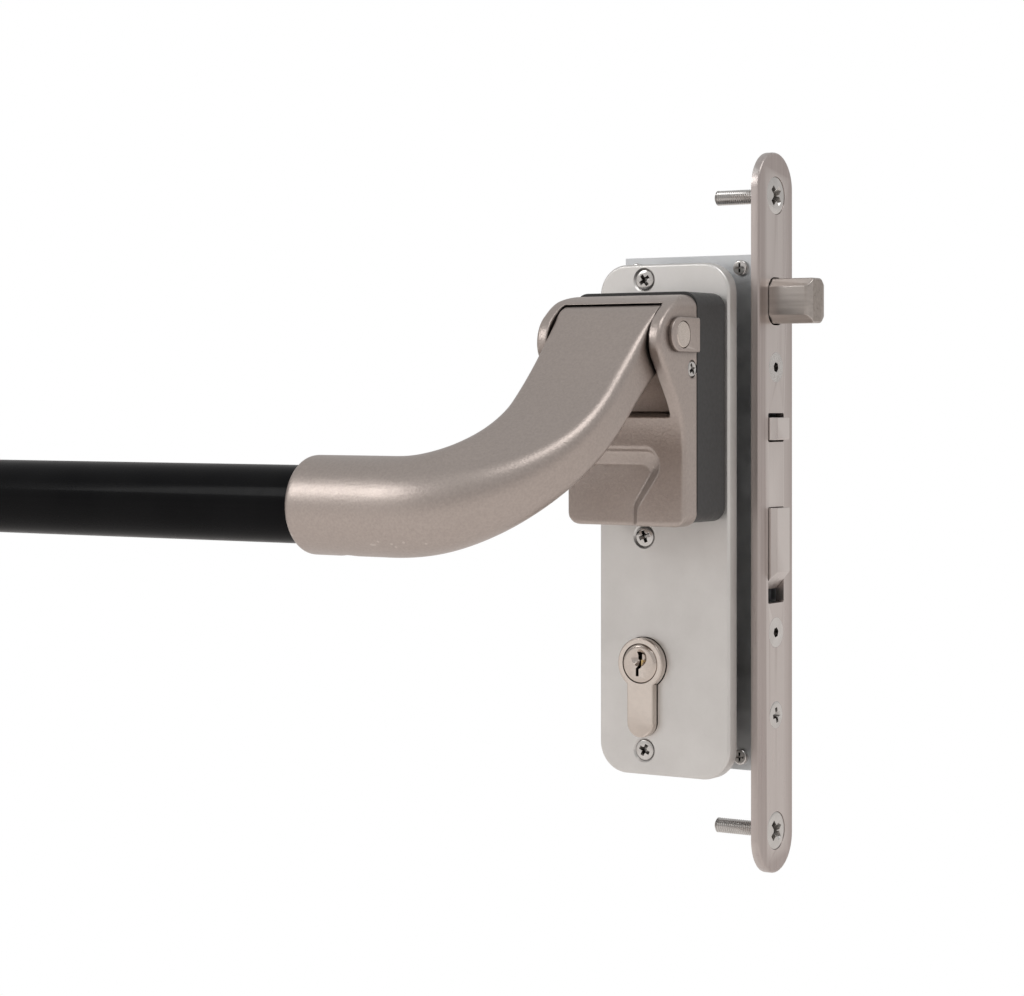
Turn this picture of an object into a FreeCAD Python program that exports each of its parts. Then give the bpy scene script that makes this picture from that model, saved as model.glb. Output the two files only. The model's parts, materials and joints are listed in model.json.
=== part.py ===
import FreeCAD, Part
import math
import os

# Panic exit bar for a narrow door stile, in millimetres.
#
# +X runs along the push bar towards the lock edge of the door, -Y points from the door face to the
# person leaving, +Z is up. The origin is the centre of the lock-side backplate's back face, which
# lies on the door face, the plane Y = 0. The two brackets are mirror images about the plane
# X = MIRROR_X.

Vector = FreeCAD.Vector
DATUM = Vector(0, 0, 0)
X_AXIS = Vector(1, 0, 0)
Y_AXIS = Vector(0, 1, 0)
Z_AXIS = Vector(0, 0, 1)
# Points nearer than this are one point.
SAME_POINT = 1e-6

# ---- driving dimensions -----------------------------------------------------------------------
BRACKET_SPACING = 780.0
MIRROR_X = -BRACKET_SPACING / 2
CYLINDER_DISTANCE = 85.0
SPINDLE_X = -7.4
SPINDLE_Z = 37.5
CYLINDER_Z = SPINDLE_Z - CYLINDER_DISTANCE
SPINDLE_SIDE = 9.0
PUSH_ANGLE = 25.0

PLATE_WIDTH = 49.0
PLATE_HEIGHT = 169.0
PLATE_THICKNESS = 5.2
PLATE_CORNER = 10.0
PLATE_SCREW_Z = (79.3, -5.6, -76.4)
PLATE_SCREW_HEAD_R = 3.35
PLATE_HOLE_HEAD_R = 4.1
PLATE_SCREW_R = 2.0
PLATE_SCREW_LENGTH = 13.0
PLATE_SCREW_NECK_R = 2.3
PLATE_SCREW_SINK = 0.45

BODY_HALF_WIDTH = 23.0
BOX_BACK = -PLATE_THICKNESS
BOX_FRONT = -23.5
BOX_BOTTOM = 0.1
BOX_TOP = 74.4
BOX_CORNER = 5.0
BOX_WALL = 2.6
BOX_FLOOR = 3.0

HOUSING_BOTTOM = -0.9
HOUSING_TOP = 73.3
HOUSING_CORNER = 4.5
HOUSING_FRONT = -31.6
PIVOT_Y = -34.9
PIVOT_Z = 60.3
LOBE_FRONT = -47.6
EAR_INNER = 18.7
PIN_R = 4.4
RUNNING_CLEARANCE = 0.05
BUSH_R = 6.0

BAR_Y = -95.5
BAR_Z = 6.5
BAR_R = 12.5
BAR_WALL = 1.8
SOCKET_R = 15.8
SOCKET_END = -76.4
SOCKET_DEPTH = 34.0
BEND_R = 42.6
ARM_HALF_WIDTH = 18.2
HEAD_R = 9.7
HOOD_R = 10.2
HOOD_EDGE_Z = 69.5

LUG_R = 17.0
LUG_REST_ANGLE = -PUSH_ANGLE / 2
LUG_TIP_R = 3.0
LUG_HALF = 2.0
LUG_X = (5.5, 14.5)
CRANK_R = 12.0
SLIDE_TRAVEL = LUG_R * math.radians(PUSH_ANGLE)
CRANK_HALF_SWING = math.degrees(math.asin(SLIDE_TRAVEL / (2 * CRANK_R)))

LOCK_Y = 16.8
CASE_FRONT = 9.8
CASE_BACK = 23.8
CASE_WALL = 1.6
CASE_LEFT = -23.4
CASE_BOTTOM = -82.5
CASE_TOP = 87.5
FOREND_BACK = 27.2
FOREND_FRONT = 30.2
FOREND_WIDTH = 24.0
FOREND_LENGTH = 238.0
FOREND_Z = 2.4
BOLT_Z = 72.2
BOLT_HEIGHT = 14.8
BOLT_WIDTH = 10.6
BOLT_THROW = 15.3
CARRIAGE_TRAVEL = 15.8
FOLLOWER_R = CARRIAGE_TRAVEL / (2 * math.sin(math.radians(CRANK_HALF_SWING)))
LATCH_Z = -11.6
LATCH_THROW = 2.4
AUX_LATCH_Z = 30.5
CYLINDER_FRONT = -8.0
CYLINDER_REAR = 41.6
CYLINDER_R = 8.5
CYLINDER_HEIGHT = 33.0
CYLINDER_WEB = 10.0
PLUG_R = 6.6
CAM_R = 13.2
CASE_SCREW_Z = (50.4, -37.2)
FOREND_SCREW_Z = (107.1, -102.7)
CYLINDER_SCREW_Z = CYLINDER_Z - 17.0

# ---- geometry helpers -------------------------------------------------------------------------


def box(x, y, z):
    """A box from three (low, high) pairs."""
    return Part.makeBox(x[1] - x[0], y[1] - y[0], z[1] - z[0], Vector(x[0], y[0], z[0]))


def rod(radius, start, end):
    """A cylinder between two points."""
    start, end = Vector(*start), Vector(*end)
    return Part.makeCylinder(radius, start.distanceToPoint(end), start, end - start)


def ring(outer, inner, start, end):
    return rod(outer, start, end).cut(rod(inner, start, end))


def in_plane(plane, level, a, b):
    """A point of a named plane: XY, XZ or YZ, at the given level along its normal."""
    return {"XY": Vector(a, b, level), "XZ": Vector(a, level, b), "YZ": Vector(level, a, b)}[plane]


def rounded_wire(corners, plane, level):
    """A closed wire through (a, b, radius) corners, each rounded by its radius."""
    count = len(corners)
    stretches = []
    for i in range(count):
        before, here, after = (corners[(i + k) % count] for k in (-1, 0, 1))
        p = Vector(here[0], here[1], 0)
        u = (Vector(before[0], before[1], 0) - p).normalize()
        w = (Vector(after[0], after[1], 0) - p).normalize()
        radius = here[2] if len(here) > 2 else 0
        if not radius:
            stretches.append((p, None, p))
            continue
        half = u.getAngle(w) / 2
        middle = p + (u + w).normalize() * (radius / math.sin(half) - radius)
        back = radius / math.tan(half)
        stretches.append((p + u * back, middle, p + w * back))
    edges = []
    for i, (start, middle, end) in enumerate(stretches):
        following = stretches[(i + 1) % count][0]
        line_ends = [in_plane(plane, level, v.x, v.y) for v in (end, following)]
        if middle is not None:
            arc_points = [in_plane(plane, level, v.x, v.y) for v in (start, middle, end)]
            edges.append(Part.Arc(*arc_points).toShape())
        if end.distanceToPoint(following) > SAME_POINT:
            edges.append(Part.LineSegment(*line_ends).toShape())
    return Part.Wire(edges)


def prism(corners, plane, low, high):
    """The rounded outline extruded along the plane's normal from low to high."""
    normal = {"XY": Z_AXIS, "XZ": Y_AXIS, "YZ": X_AXIS}[plane]
    return Part.Face(rounded_wire(corners, plane, low)).extrude(normal * (high - low))


def rectangle(a, b, radius=0):
    """Rounded corners of a rectangle from two (low, high) pairs."""
    return [(a[0], b[0], radius), (a[1], b[0], radius), (a[1], b[1], radius), (a[0], b[1], radius)]


def edges_where(shape, test):
    return [e for e in shape.Edges if test(e.BoundBox)]


def rounded(shape, radius, test):
    return shape.makeFillet(radius, edges_where(shape, test))


def bevelled(shape, size, test):
    return shape.makeChamfer(size, edges_where(shape, test))


def at_level(axis, level, slack=0.02):
    """An edge test: the whole edge lies at this level along the axis."""
    low, high = axis + "Min", axis + "Max"
    return lambda b: abs(getattr(b, low) - level) < slack and abs(getattr(b, high) - level) < slack


def placed(shape, axis, position):
    """Turns a piece built along +Z to the given axis, then moves it to the position."""
    turned = shape.copy()
    turned.Placement = FreeCAD.Placement(Vector(*position), FreeCAD.Rotation(Z_AXIS, Vector(*axis)))
    return turned


def mirrored(shape):
    """The hinge-side twin of a lock-side piece."""
    return shape.mirror(Vector(MIRROR_X, 0, 0), X_AXIS)


def group(solids):
    return Part.makeCompound(solids)


def coil(wire_r, mean_r, length, turns, axis, position):
    """A helical spring whose wire centre line runs from the position along the axis."""
    helix = Part.makeHelix(length / turns, length, mean_r)
    start = Vector(mean_r, 0, 0)
    rise = length / turns / (2 * math.pi)
    section = Part.Wire(Part.makeCircle(wire_r, start, Vector(0, mean_r, rise)))
    return placed(Part.Wire(helix).makePipeShell([section], True, True), axis, position)


def save(node, shape):
    shape.exportStep("parts/" + node + ".step")


# ---- fasteners, all built along +Z with the head's face at Z = 0 --------------------------------


SQUARE = ((-1, -1), (1, -1), (1, 1), (-1, 1), (-1, -1))
# The short cylinder at the top of a countersunk head.
HEAD_RIM = 0.3
# Cutters start a little proud of the face that they cut, and run well past the far one.
CUT_START = 0.5
CUT_THROUGH = 30.0
RECESS_LIFT = 0.01


def cross_recess(radius, depth):
    """A cruciform recess: two crossed tapering slots."""
    half_width = radius * 0.22
    cutters = []
    for turn in (0, 90):
        top = [Vector(s * radius, t * half_width, RECESS_LIFT) for s, t in SQUARE]
        low = [Vector(s * radius * 0.45, t * half_width * 0.6, -depth) for s, t in SQUARE]
        wires = [Part.Wire(Part.makePolygon(corners).Edges) for corners in (top, low)]
        slot = Part.makeLoft(wires, True, True)
        slot.rotate(DATUM, Z_AXIS, turn)
        cutters.append(slot)
    return cutters[0].fuse(cutters[1])


def hexagon_recess(across_flats, depth):
    r = across_flats / math.sqrt(3)
    angles = [math.radians(60 * k) for k in range(7)]
    points = [Vector(r * math.cos(a), r * math.sin(a), RECESS_LIFT) for a in angles]
    return Part.Face(Part.makePolygon(points)).extrude(Vector(0, 0, -depth - RECESS_LIFT))


def countersunk_screw(head_r, shank_r, length, recess, dome=0.0, neck=None):
    """A countersunk screw with a 90 degree head and a chamfered tip.

    It may have a raised dome, and a plain (radius, length) neck under the head.
    """
    cone = head_r - shank_r
    head = rod(head_r, (0, 0, -HEAD_RIM), (0, 0, 0)).fuse(
        Part.makeCone(head_r, shank_r, cone, Vector(0, 0, -HEAD_RIM), Vector(0, 0, -1)))
    shank = rod(shank_r, (0, 0, -length), (0, 0, -HEAD_RIM - cone / 2))
    shank = bevelled(shank, shank_r * 0.3, at_level("Z", -length))
    screw = head.fuse(shank)
    if neck:
        screw = screw.fuse(rod(neck[0], (0, 0, -neck[1]), (0, 0, -HEAD_RIM)))
    if dome:
        ball_r = (head_r ** 2 + dome ** 2) / (2 * dome)
        ball = Part.makeSphere(ball_r, Vector(0, 0, dome - ball_r))
        screw = screw.fuse(ball.common(rod(head_r - 0.02, (0, 0, -HEAD_RIM), (0, 0, dome + 1))))
        recess = recess.copy()
        recess.translate(Vector(0, 0, dome))
    return screw.cut(recess).removeSplitter()


def countersink(head_r, shank_r, depth):
    """The hole that a countersunk screw fills."""
    cone = head_r - shank_r
    hole = rod(head_r, (0, 0, -HEAD_RIM), (0, 0, CUT_START))
    hole = hole.fuse(Part.makeCone(head_r, shank_r, cone, Vector(0, 0, -HEAD_RIM), Vector(0, 0, -1)))
    return hole.fuse(rod(shank_r, (0, 0, -depth), (0, 0, 0)))


def grub_screw(radius, length, recess):
    body = bevelled(rod(radius, (0, 0, -length), (0, 0, 0)), 0.4, lambda b: b.ZLength < 0.01)
    return body.cut(recess)


# ---- the lock-side backplate and its screws -----------------------------------------------------


def euro_profile(plane_low, plane_high, clearance=0.0):
    """The keyhole-shaped cylinder profile, extruded through the door's thickness."""
    r = CYLINDER_R + clearance
    half_web = CYLINDER_WEB / 2 + clearance
    bottom = CYLINDER_Z + CYLINDER_R - CYLINDER_HEIGHT + half_web
    barrel = rod(r, (SPINDLE_X, plane_low, CYLINDER_Z), (SPINDLE_X, plane_high, CYLINDER_Z))
    foot = rod(half_web, (SPINDLE_X, plane_low, bottom), (SPINDLE_X, plane_high, bottom))
    web = box((SPINDLE_X - half_web, SPINDLE_X + half_web), (plane_low, plane_high),
              (bottom, CYLINDER_Z))
    return barrel.fuse([foot, web]).removeSplitter()


def plate_screws(heights, x):
    recess = cross_recess(PLATE_SCREW_HEAD_R * 0.62, 1.9)
    neck = (PLATE_SCREW_NECK_R, PLATE_THICKNESS - PLATE_SCREW_SINK)
    screw = countersunk_screw(PLATE_SCREW_HEAD_R, PLATE_SCREW_R, PLATE_SCREW_LENGTH, recess, 0.35, neck)
    return [placed(screw, (0, -1, 0), (x, -PLATE_THICKNESS + PLATE_SCREW_SINK, z)) for z in heights]


def plate_holes(heights, x):
    hole = countersink(PLATE_HOLE_HEAD_R, PLATE_SCREW_NECK_R, CUT_THROUGH)
    return [placed(hole, (0, -1, 0), (x, -PLATE_THICKNESS - HEAD_RIM, z)) for z in heights]


BOX_SCREW_PLACES = ((-15.5, 66.0), (15.5, 8.0))
BOX_SCREW_R = 2.0
BOX_SCREW_HEAD_R = 3.6
BOX_SCREW_SHORT = 0.6
SPINDLE_CLEAR_R = 6.8
EURO_CLEARANCE = 0.25
PLATE_EDGE_R = 0.9


def box_screws():
    """The two screws inside the drive box that hold it on the backplate."""
    recess = cross_recess(BOX_SCREW_HEAD_R * 0.6, 1.8)
    screw = countersunk_screw(BOX_SCREW_HEAD_R, BOX_SCREW_R, BOX_FLOOR + PLATE_THICKNESS - BOX_SCREW_SHORT,
                             recess)
    return group([placed(screw, (0, -1, 0), (x, BOX_BACK - BOX_FLOOR, z)) for x, z in BOX_SCREW_PLACES])


def box_screw_holes():
    hole = countersink(BOX_SCREW_HEAD_R, BOX_SCREW_R, CUT_THROUGH)
    return [placed(hole, (0, -1, 0), (x, BOX_BACK - BOX_FLOOR, z)) for x, z in BOX_SCREW_PLACES]


def spindle_rod(radius, low, high):
    """A cylinder on the spindle's axis."""
    return rod(radius, (SPINDLE_X, low, SPINDLE_Z), (SPINDLE_X, high, SPINDLE_Z))


def backplate(height, centre_z):
    half = PLATE_WIDTH / 2
    outline = rectangle((-half, half), (centre_z - height / 2, centre_z + height / 2), PLATE_CORNER)
    plate = prism(outline, "XZ", -PLATE_THICKNESS, 0)
    return rounded(plate, PLATE_EDGE_R, at_level("Y", -PLATE_THICKNESS))


def lock_backplate():
    plate = backplate(PLATE_HEIGHT, 0)
    cuts = plate_holes(PLATE_SCREW_Z, SPINDLE_X) + box_screw_holes()
    cuts.append(euro_profile(-PLATE_THICKNESS, 0, EURO_CLEARANCE))
    cuts.append(spindle_rod(SPINDLE_CLEAR_R, -PLATE_THICKNESS, 0))
    return plate.cut(cuts)


# ---- the drive box, its slider and its crank ----------------------------------------------------

TAB_X = (19.6, 21.6)
TAB_Y = -29.6
TAB_Z = (44.4, 54.6)
SIDE_SCREW_Y = -26.4
SIDE_SCREW_Z = 49.5
SIDE_SCREW_R = 2.75
SIDE_SCREW_SINK = 0.2
TAB_GAP = 0.1
SLIDER_X = (-5.0, 18.5)
SLIDER_Y = (-22.6, -14.0)
SLIDER_Z = (26.0, 63.4)
SLIDER_CORNER = 1.5
GUIDE_GAP = 0.3
SPRING_X = 0.0
SPRING_Y = (SLIDER_Y[0] + SLIDER_Y[1]) / 2
SPRING_SEAT_Z = 46.0
BOX_ROOF = BOX_TOP - BOX_WALL
RAIL_WIDTH = 2.5
RAIL_Y = (-22.0, BOX_BACK - BOX_FLOOR)
LEFT_RAIL_Z = (57.0, BOX_ROOF)
RIGHT_RAIL_Z = (20.0, 43.0)
HUB_R = 7.0
HUB_BOSS_R = 9.5
HUB_BOSS_Y = -10.6
CRANK_DISC_R = 9.0
CRANK_DISC_Y = (-13.6, -11.0)
CRANK_WEB_R = 4.2
CRANK_PIN_R = 3.0
CRANK_PIN_Y = -18.6
HUB_SHORT = 0.4
SPINDLE_FRONT = -12.6
SPINDLE_BACK = 34.0
SPINDLE_CHAMFER = 0.8
PIN_SLOT_X = (-4.2, 5.0)
PIN_SLOT_GAP = 0.15
SLOT_ROOF = 2.0
LUG_SIDE_GAP = 0.6
LUG_PLAY = 0.4
SPRING_POCKET = 3.3
SPRING_WIRE_R = 0.5
SPRING_MEAN_R = 2.7
SPRING_TURNS = 9


def side_screw_hole(side, reach):
    """The threaded hole in a tab, or the clear hole in the housing's cheek."""
    inside = side * (TAB_X[0] - CUT_START)
    outside = side * (TAB_X[0] + reach)
    return rod(SIDE_SCREW_R, (inside, SIDE_SCREW_Y, SIDE_SCREW_Z), (outside, SIDE_SCREW_Y, SIDE_SCREW_Z))


def box_shell(with_drive):
    """The black box between backplate and housing: a tray open to the front."""
    outline = rectangle((-BODY_HALF_WIDTH, BODY_HALF_WIDTH), (BOX_BOTTOM, BOX_TOP), BOX_CORNER)
    shell = prism(outline, "XZ", BOX_FRONT, BOX_BACK)
    inner = BODY_HALF_WIDTH - BOX_WALL
    hollow = rectangle((-inner, inner), (BOX_BOTTOM + BOX_WALL, BOX_ROOF), BOX_CORNER - BOX_WALL)
    shell = shell.cut(prism(hollow, "XZ", BOX_FRONT, BOX_BACK - BOX_FLOOR))
    tabs = []
    for side in (-1, 1):
        x = sorted((side * TAB_X[0], side * TAB_X[1]))
        tabs.append(box(x, (TAB_Y, BOX_BACK - BOX_FLOOR), TAB_Z))
    shell = shell.fuse(tabs)
    if with_drive:
        left = SLIDER_X[0] - GUIDE_GAP
        rails = [box((left - RAIL_WIDTH, left), RAIL_Y, LEFT_RAIL_Z),
                 box((SLIDER_X[1] + GUIDE_GAP, TAB_X[1]), RAIL_Y, RIGHT_RAIL_Z)]
        boss = spindle_rod(HUB_BOSS_R, HUB_BOSS_Y, BOX_BACK - BOX_FLOOR)
        bearing = spindle_rod(HUB_R + RUNNING_CLEARANCE, BOX_FRONT, 0)
        shell = shell.fuse(rails + [boss]).cut(bearing)
    for side in (-1, 1):
        shell = shell.cut(side_screw_hole(side, BOX_CORNER))
    return shell.cut(box_screw_holes()).removeSplitter()


def lug_tip(angle):
    """The centre of the drive lug's round tip when it stands at this angle."""
    a = math.radians(angle)
    return PIVOT_Y + LUG_R * math.cos(a), PIVOT_Z + LUG_R * math.sin(a)


def crank_pin_place():
    a = math.radians(CRANK_HALF_SWING)
    return SPINDLE_X + CRANK_R * math.cos(a), SPINDLE_Z - CRANK_R * math.sin(a)


def drive_slider():
    """The plate that the lug lifts; a cross slot in it turns the crank."""
    slider = box(SLIDER_X, SLIDER_Y, SLIDER_Z)
    slider = rounded(slider, SLIDER_CORNER, lambda b: b.XLength < 0.01 and b.ZLength < 0.01)
    _, tip_z = lug_tip(LUG_REST_ANGLE)
    half = LUG_TIP_R + LUG_PLAY
    lug_x = (LUG_X[0] - LUG_SIDE_GAP, LUG_X[1] + LUG_SIDE_GAP)
    lug_slot = box(lug_x, SLIDER_Y, (tip_z - half, tip_z + half))
    pin_x, pin_z = crank_pin_place()
    half = CRANK_PIN_R + PIN_SLOT_GAP
    pin_slot = box((pin_x + PIN_SLOT_X[0], pin_x + PIN_SLOT_X[1]), (SLIDER_Y[0] + SLOT_ROOF, SLIDER_Y[1]),
                   (pin_z - half, pin_z + half))
    pocket = rod(SPRING_POCKET, (SPRING_X, SPRING_Y, SPRING_SEAT_Z), (SPRING_X, SPRING_Y, SLIDER_Z[1]))
    return slider.cut([lug_slot, pin_slot, pocket])


def slider_spring():
    """The spring that presses the slider down, between its pocket and the box's roof."""
    length = BOX_ROOF - SPRING_SEAT_Z - 2 * SPRING_WIRE_R
    place = (SPRING_X, SPRING_Y, SPRING_SEAT_Z + SPRING_WIRE_R)
    return coil(SPRING_WIRE_R, SPRING_MEAN_R, length, SPRING_TURNS, Z_AXIS, place)


def square_bar(side, y_low, y_high):
    """A square bar on the spindle's axis, standing on its corner."""
    bar = box((-side / 2, side / 2), (y_low, y_high), (-side / 2, side / 2))
    bar.rotate(DATUM, Y_AXIS, 45)
    bar.translate(Vector(SPINDLE_X, 0, SPINDLE_Z))
    return bar


def drive_crank():
    """Hub on the square spindle, with the pin that stands in the slider's slot."""
    pin_x, pin_z = crank_pin_place()
    front, back = CRANK_DISC_Y
    hub = spindle_rod(HUB_R, front, BOX_BACK - HUB_SHORT)
    web = rod(CRANK_WEB_R, (pin_x, front, pin_z), (pin_x, back, pin_z))
    disc = spindle_rod(CRANK_DISC_R, front, back)
    pin = rod(CRANK_PIN_R, (pin_x, CRANK_PIN_Y, pin_z), (pin_x, front + CUT_START, pin_z))
    square_hole = square_bar(SPINDLE_SIDE, SPINDLE_FRONT - CUT_START, 0)
    return hub.fuse([disc, web, pin]).cut(square_hole).removeSplitter()


def spindle():
    bar = square_bar(SPINDLE_SIDE, SPINDLE_FRONT, SPINDLE_BACK)
    return bevelled(bar, SPINDLE_CHAMFER, at_level("Y", SPINDLE_BACK))


# ---- the housing and the pivot ------------------------------------------------------------------

SILL_Z = 35.5
REAR_POCKET_Y = -26.2
CAP_PROUD = 1.5
CAP_Y = (-42.2, -24.2)
CAP_HALF_HEIGHT = 5.5
CAP_CORNER = 0.6
CAP_EDGE_R = 0.45
PIN_PROUD = 0.15
PIN_CHAMFER = 0.5
FOOT_R = 1.5
SWEEP_Z = 32.8
SWEEP_R = 30.0
LOBE_Z = (55.0, 63.2)
LOBE_LOWER_R = 8.4
LOBE_UPPER_R = 10.8
BROW_Y = -34.7
BROW_R = 26.0
POCKET_MARGIN = 3.0
HOUSING_EDGE_R = 1.3
LUG_WINDOW_X = (4.0, 16.0)
LUG_WINDOW_Z = (51.5, 68.5)
SILL_CHAMFER = 1.6
RELIEF_START = -32.9
RELIEF_FLOOR = -28.2
RELIEF_RIM = 0.9
RELIEF_CORNER = 4.2
RELIEF_BEND = 5.0
LEDGE_TOP = 24.5
LEDGE_RIGHT = 13.7
LEDGE_END = 18.5
LEDGE_DEPTH = 0.45
LEDGE_TAPER = 1.2
# Top, right side, height of the shoulder, then the lower bend's X and Z.
RELIEF_FRONT_CORNERS = (25.2, 15.6, 17.0, 6.6, 4.3)
RELIEF_FLOOR_CORNERS = (19.1, 8.8, 16.2, 2.3, 6.0)
OUTSIDE_LEFT = -40.0
OUTSIDE_BELOW = -3.0


def side_profile():
    """Side outline of the housing: flat back, brow, lobe in front of the pivot, sweep to the foot."""
    return [(BOX_FRONT, HOUSING_BOTTOM, 0), (HOUSING_FRONT, HOUSING_BOTTOM, FOOT_R),
            (HOUSING_FRONT, SWEEP_Z, SWEEP_R), (LOBE_FRONT, LOBE_Z[0], LOBE_LOWER_R),
            (LOBE_FRONT, LOBE_Z[1], LOBE_UPPER_R), (BROW_Y, HOUSING_TOP, BROW_R),
            (BOX_FRONT, HOUSING_TOP, 0)]


def relief_outline(top, right, shoulder, foot_x, foot_z):
    """The recess seen from the front: open on the bar side and below, bounded on the lock side."""
    return [(OUTSIDE_LEFT, top), (right, top, RELIEF_CORNER), (right, shoulder, RELIEF_BEND),
            (foot_x, foot_z, RELIEF_BEND), (foot_x, OUTSIDE_BELOW), (OUTSIDE_LEFT, OUTSIDE_BELOW)]


def relief():
    """The draughted recess below the arm, with a shallow ledge along its top."""
    front = relief_outline(*RELIEF_FRONT_CORNERS)
    floor = relief_outline(*RELIEF_FLOOR_CORNERS)
    wires = [rounded_wire(front, "XZ", RELIEF_START), rounded_wire(floor, "XZ", RELIEF_FLOOR)]
    ledge = [(OUTSIDE_LEFT, LEDGE_TOP), (LEDGE_RIGHT, LEDGE_TOP, RELIEF_CORNER),
             (LEDGE_RIGHT - LEDGE_TAPER, LEDGE_END), (OUTSIDE_LEFT, LEDGE_END)]
    step = prism(ledge, "XZ", RELIEF_START, HOUSING_FRONT + LEDGE_DEPTH)
    return Part.makeLoft(wires, True, True).fuse(step)


def relief_rim(b):
    """The edge where the recess's floor meets the housing's bottom face."""
    return b.ZLength < 0.01 and abs(b.ZMin - HOUSING_BOTTOM) < 0.01 and abs(b.YMin - RELIEF_FLOOR) < 0.01


def housing():
    half = BODY_HALF_WIDTH
    body = prism(side_profile(), "YZ", -half, half)
    body = rounded(body, HOUSING_EDGE_R, lambda b: b.XLength < 0.01 and b.YMin < BOX_FRONT - 0.1)
    gap = (-EAR_INNER, EAR_INNER)
    head_room = pin_line(HOOD_R, *gap)
    front_room = box(gap, (LOBE_FRONT - 1, PIVOT_Y), (SILL_Z, HOOD_EDGE_Z))
    behind_room = box(gap, (PIVOT_Y - 1, REAR_POCKET_Y), (SILL_Z, PIVOT_Z))
    room = head_room.fuse([front_room, behind_room]).removeSplitter()
    body = body.cut(room)
    window = box(LUG_WINDOW_X, (PIVOT_Y, BOX_FRONT), LUG_WINDOW_Z)
    inner = half - BOX_WALL
    pocket_z = (HOUSING_BOTTOM + POCKET_MARGIN, SILL_Z - POCKET_MARGIN)
    back_pocket = box((-inner, inner), (REAR_POCKET_Y, BOX_FRONT), pocket_z)
    body = body.cut([window, back_pocket, relief()])
    body = bevelled(body, SILL_CHAMFER, sill_edge)
    body = rounded(body, RELIEF_RIM, relief_rim)
    front_view = rectangle((-half, half), (HOUSING_BOTTOM, HOUSING_TOP), HOUSING_CORNER)
    body = body.common(prism(front_view, "XZ", LOBE_FRONT - 1, BOX_FRONT))
    return body.cut(housing_cuts())


def sill_edge(b):
    return abs(b.ZMin - SILL_Z) < 0.01 and b.ZLength < 0.01 and b.XLength > 30 and b.YMax < -33


def pin_line(radius, low=-CUT_THROUGH, high=CUT_THROUGH):
    """A cylinder on the pivot's axis."""
    return rod(radius, (low, PIVOT_Y, PIVOT_Z), (high, PIVOT_Y, PIVOT_Z))


def housing_cuts():
    """Pin holes, side-screw holes and the slots for the drive box's tabs."""
    cuts = [pin_line(PIN_R)]
    gap = TAB_GAP
    for side in (-1, 1):
        x = sorted((side * (TAB_X[0] - gap), side * (TAB_X[1] + gap)))
        cuts.append(box(x, (TAB_Y - 2 * gap, BOX_FRONT), (TAB_Z[0] - gap, TAB_Z[1] + gap)))
        cuts.append(side_screw_hole(side, BOX_CORNER))
    return cuts


def side_screws():
    recess = cross_recess(SIDE_SCREW_R * 0.75, 1.4)
    face = BODY_HALF_WIDTH - SIDE_SCREW_SINK
    screw = grub_screw(SIDE_SCREW_R, face - TAB_X[0], recess)
    return [placed(screw, (side, 0, 0), (side * face, SIDE_SCREW_Y, SIDE_SCREW_Z)) for side in (-1, 1)]


def pivot_pin():
    end = BODY_HALF_WIDTH + CAP_PROUD + PIN_PROUD
    return bevelled(pin_line(PIN_R, -end, end), PIN_CHAMFER, lambda b: b.XLength < 0.01)


def pin_caps():
    """D-shaped retainers let on to the pin's ends, outside the ears."""
    caps = []
    r = CAP_HALF_HEIGHT
    nose_r = r - 0.05
    outline = [(CAP_Y[0], PIVOT_Z - r, nose_r), (CAP_Y[1], PIVOT_Z - r, CAP_CORNER),
               (CAP_Y[1], PIVOT_Z + r, CAP_CORNER), (CAP_Y[0], PIVOT_Z + r, nose_r)]
    for side in (-1, 1):
        x = sorted((side * BODY_HALF_WIDTH, side * (BODY_HALF_WIDTH + CAP_PROUD)))
        cap = prism(outline, "YZ", *x)
        cap = rounded(cap, CAP_EDGE_R, at_level("X", side * (BODY_HALF_WIDTH + CAP_PROUD)))
        caps.append(cap.cut(pin_line(PIN_R)))
    return caps


# ---- the arm, its bushes and the bar ------------------------------------------------------------

ALONG = Vector(0, BAR_Y - PIVOT_Y, BAR_Z - PIVOT_Z).normalize()
ACROSS = Vector(0, ALONG.z, -ALONG.y)
REACH = math.hypot(BAR_Y - PIVOT_Y, BAR_Z - PIVOT_Z)
BEND_START = REACH - BEND_R
PIVOT = Vector(0, PIVOT_Y, PIVOT_Z)
BAR_CENTRE = Vector(0, BAR_Y, BAR_Z)
SPRING_POCKET_X = (-12.0, 1.0)
SPRING_POCKET_R = 7.6
LEG_ROOM = 14.0
SOCKET_LIP_R = 2.6


def arm_section(centre, width_axis, half_width, front, rear, radius):
    """A rounded rectangle square to the arm's line: front and rear are measured along ACROSS."""
    middle = centre + ACROSS * ((front + rear) / 2)
    half_height = (front - rear) / 2
    flat_w = half_width - radius
    flat_h = half_height - radius
    diagonal = radius * math.sqrt(0.5)
    edges = []
    for sw, sh in ((1, 1), (-1, 1), (-1, -1), (1, -1)):
        corner = middle + width_axis * (sw * flat_w) + ACROSS * (sh * flat_h)
        ends = [corner + width_axis * (sw * radius), corner + ACROSS * (sh * radius)]
        if sw * sh < 0:
            ends.reverse()
        mid = corner + (width_axis * sw + ACROSS * sh) * diagonal
        edges.append(Part.Arc(ends[0], mid, ends[1]).toShape())
    closed = []
    for i, arc in enumerate(edges):
        closed.append(arc)
        nxt = edges[(i + 1) % 4]
        closed.append(Part.LineSegment(arc.lastVertex().Point, nxt.firstVertex().Point).toShape())
    return Part.Wire(closed)


# Distance from the pivot, front, rear and corner radius of the straight part's sections.
STRAP_SECTIONS = ((0.6, HEAD_R, -8.0, 1.2), (7.0, 9.5, -7.2, 1.8), (14.0, 9.1, -6.2, 2.6),
                  (22.0, 8.7, -5.9, 3.2), (31.0, 8.5, -5.9, 3.6))
BEND_STEP = 15
SOCKET_START = -BEND_R - 5.0
SIDE_ARC = 10


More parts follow.
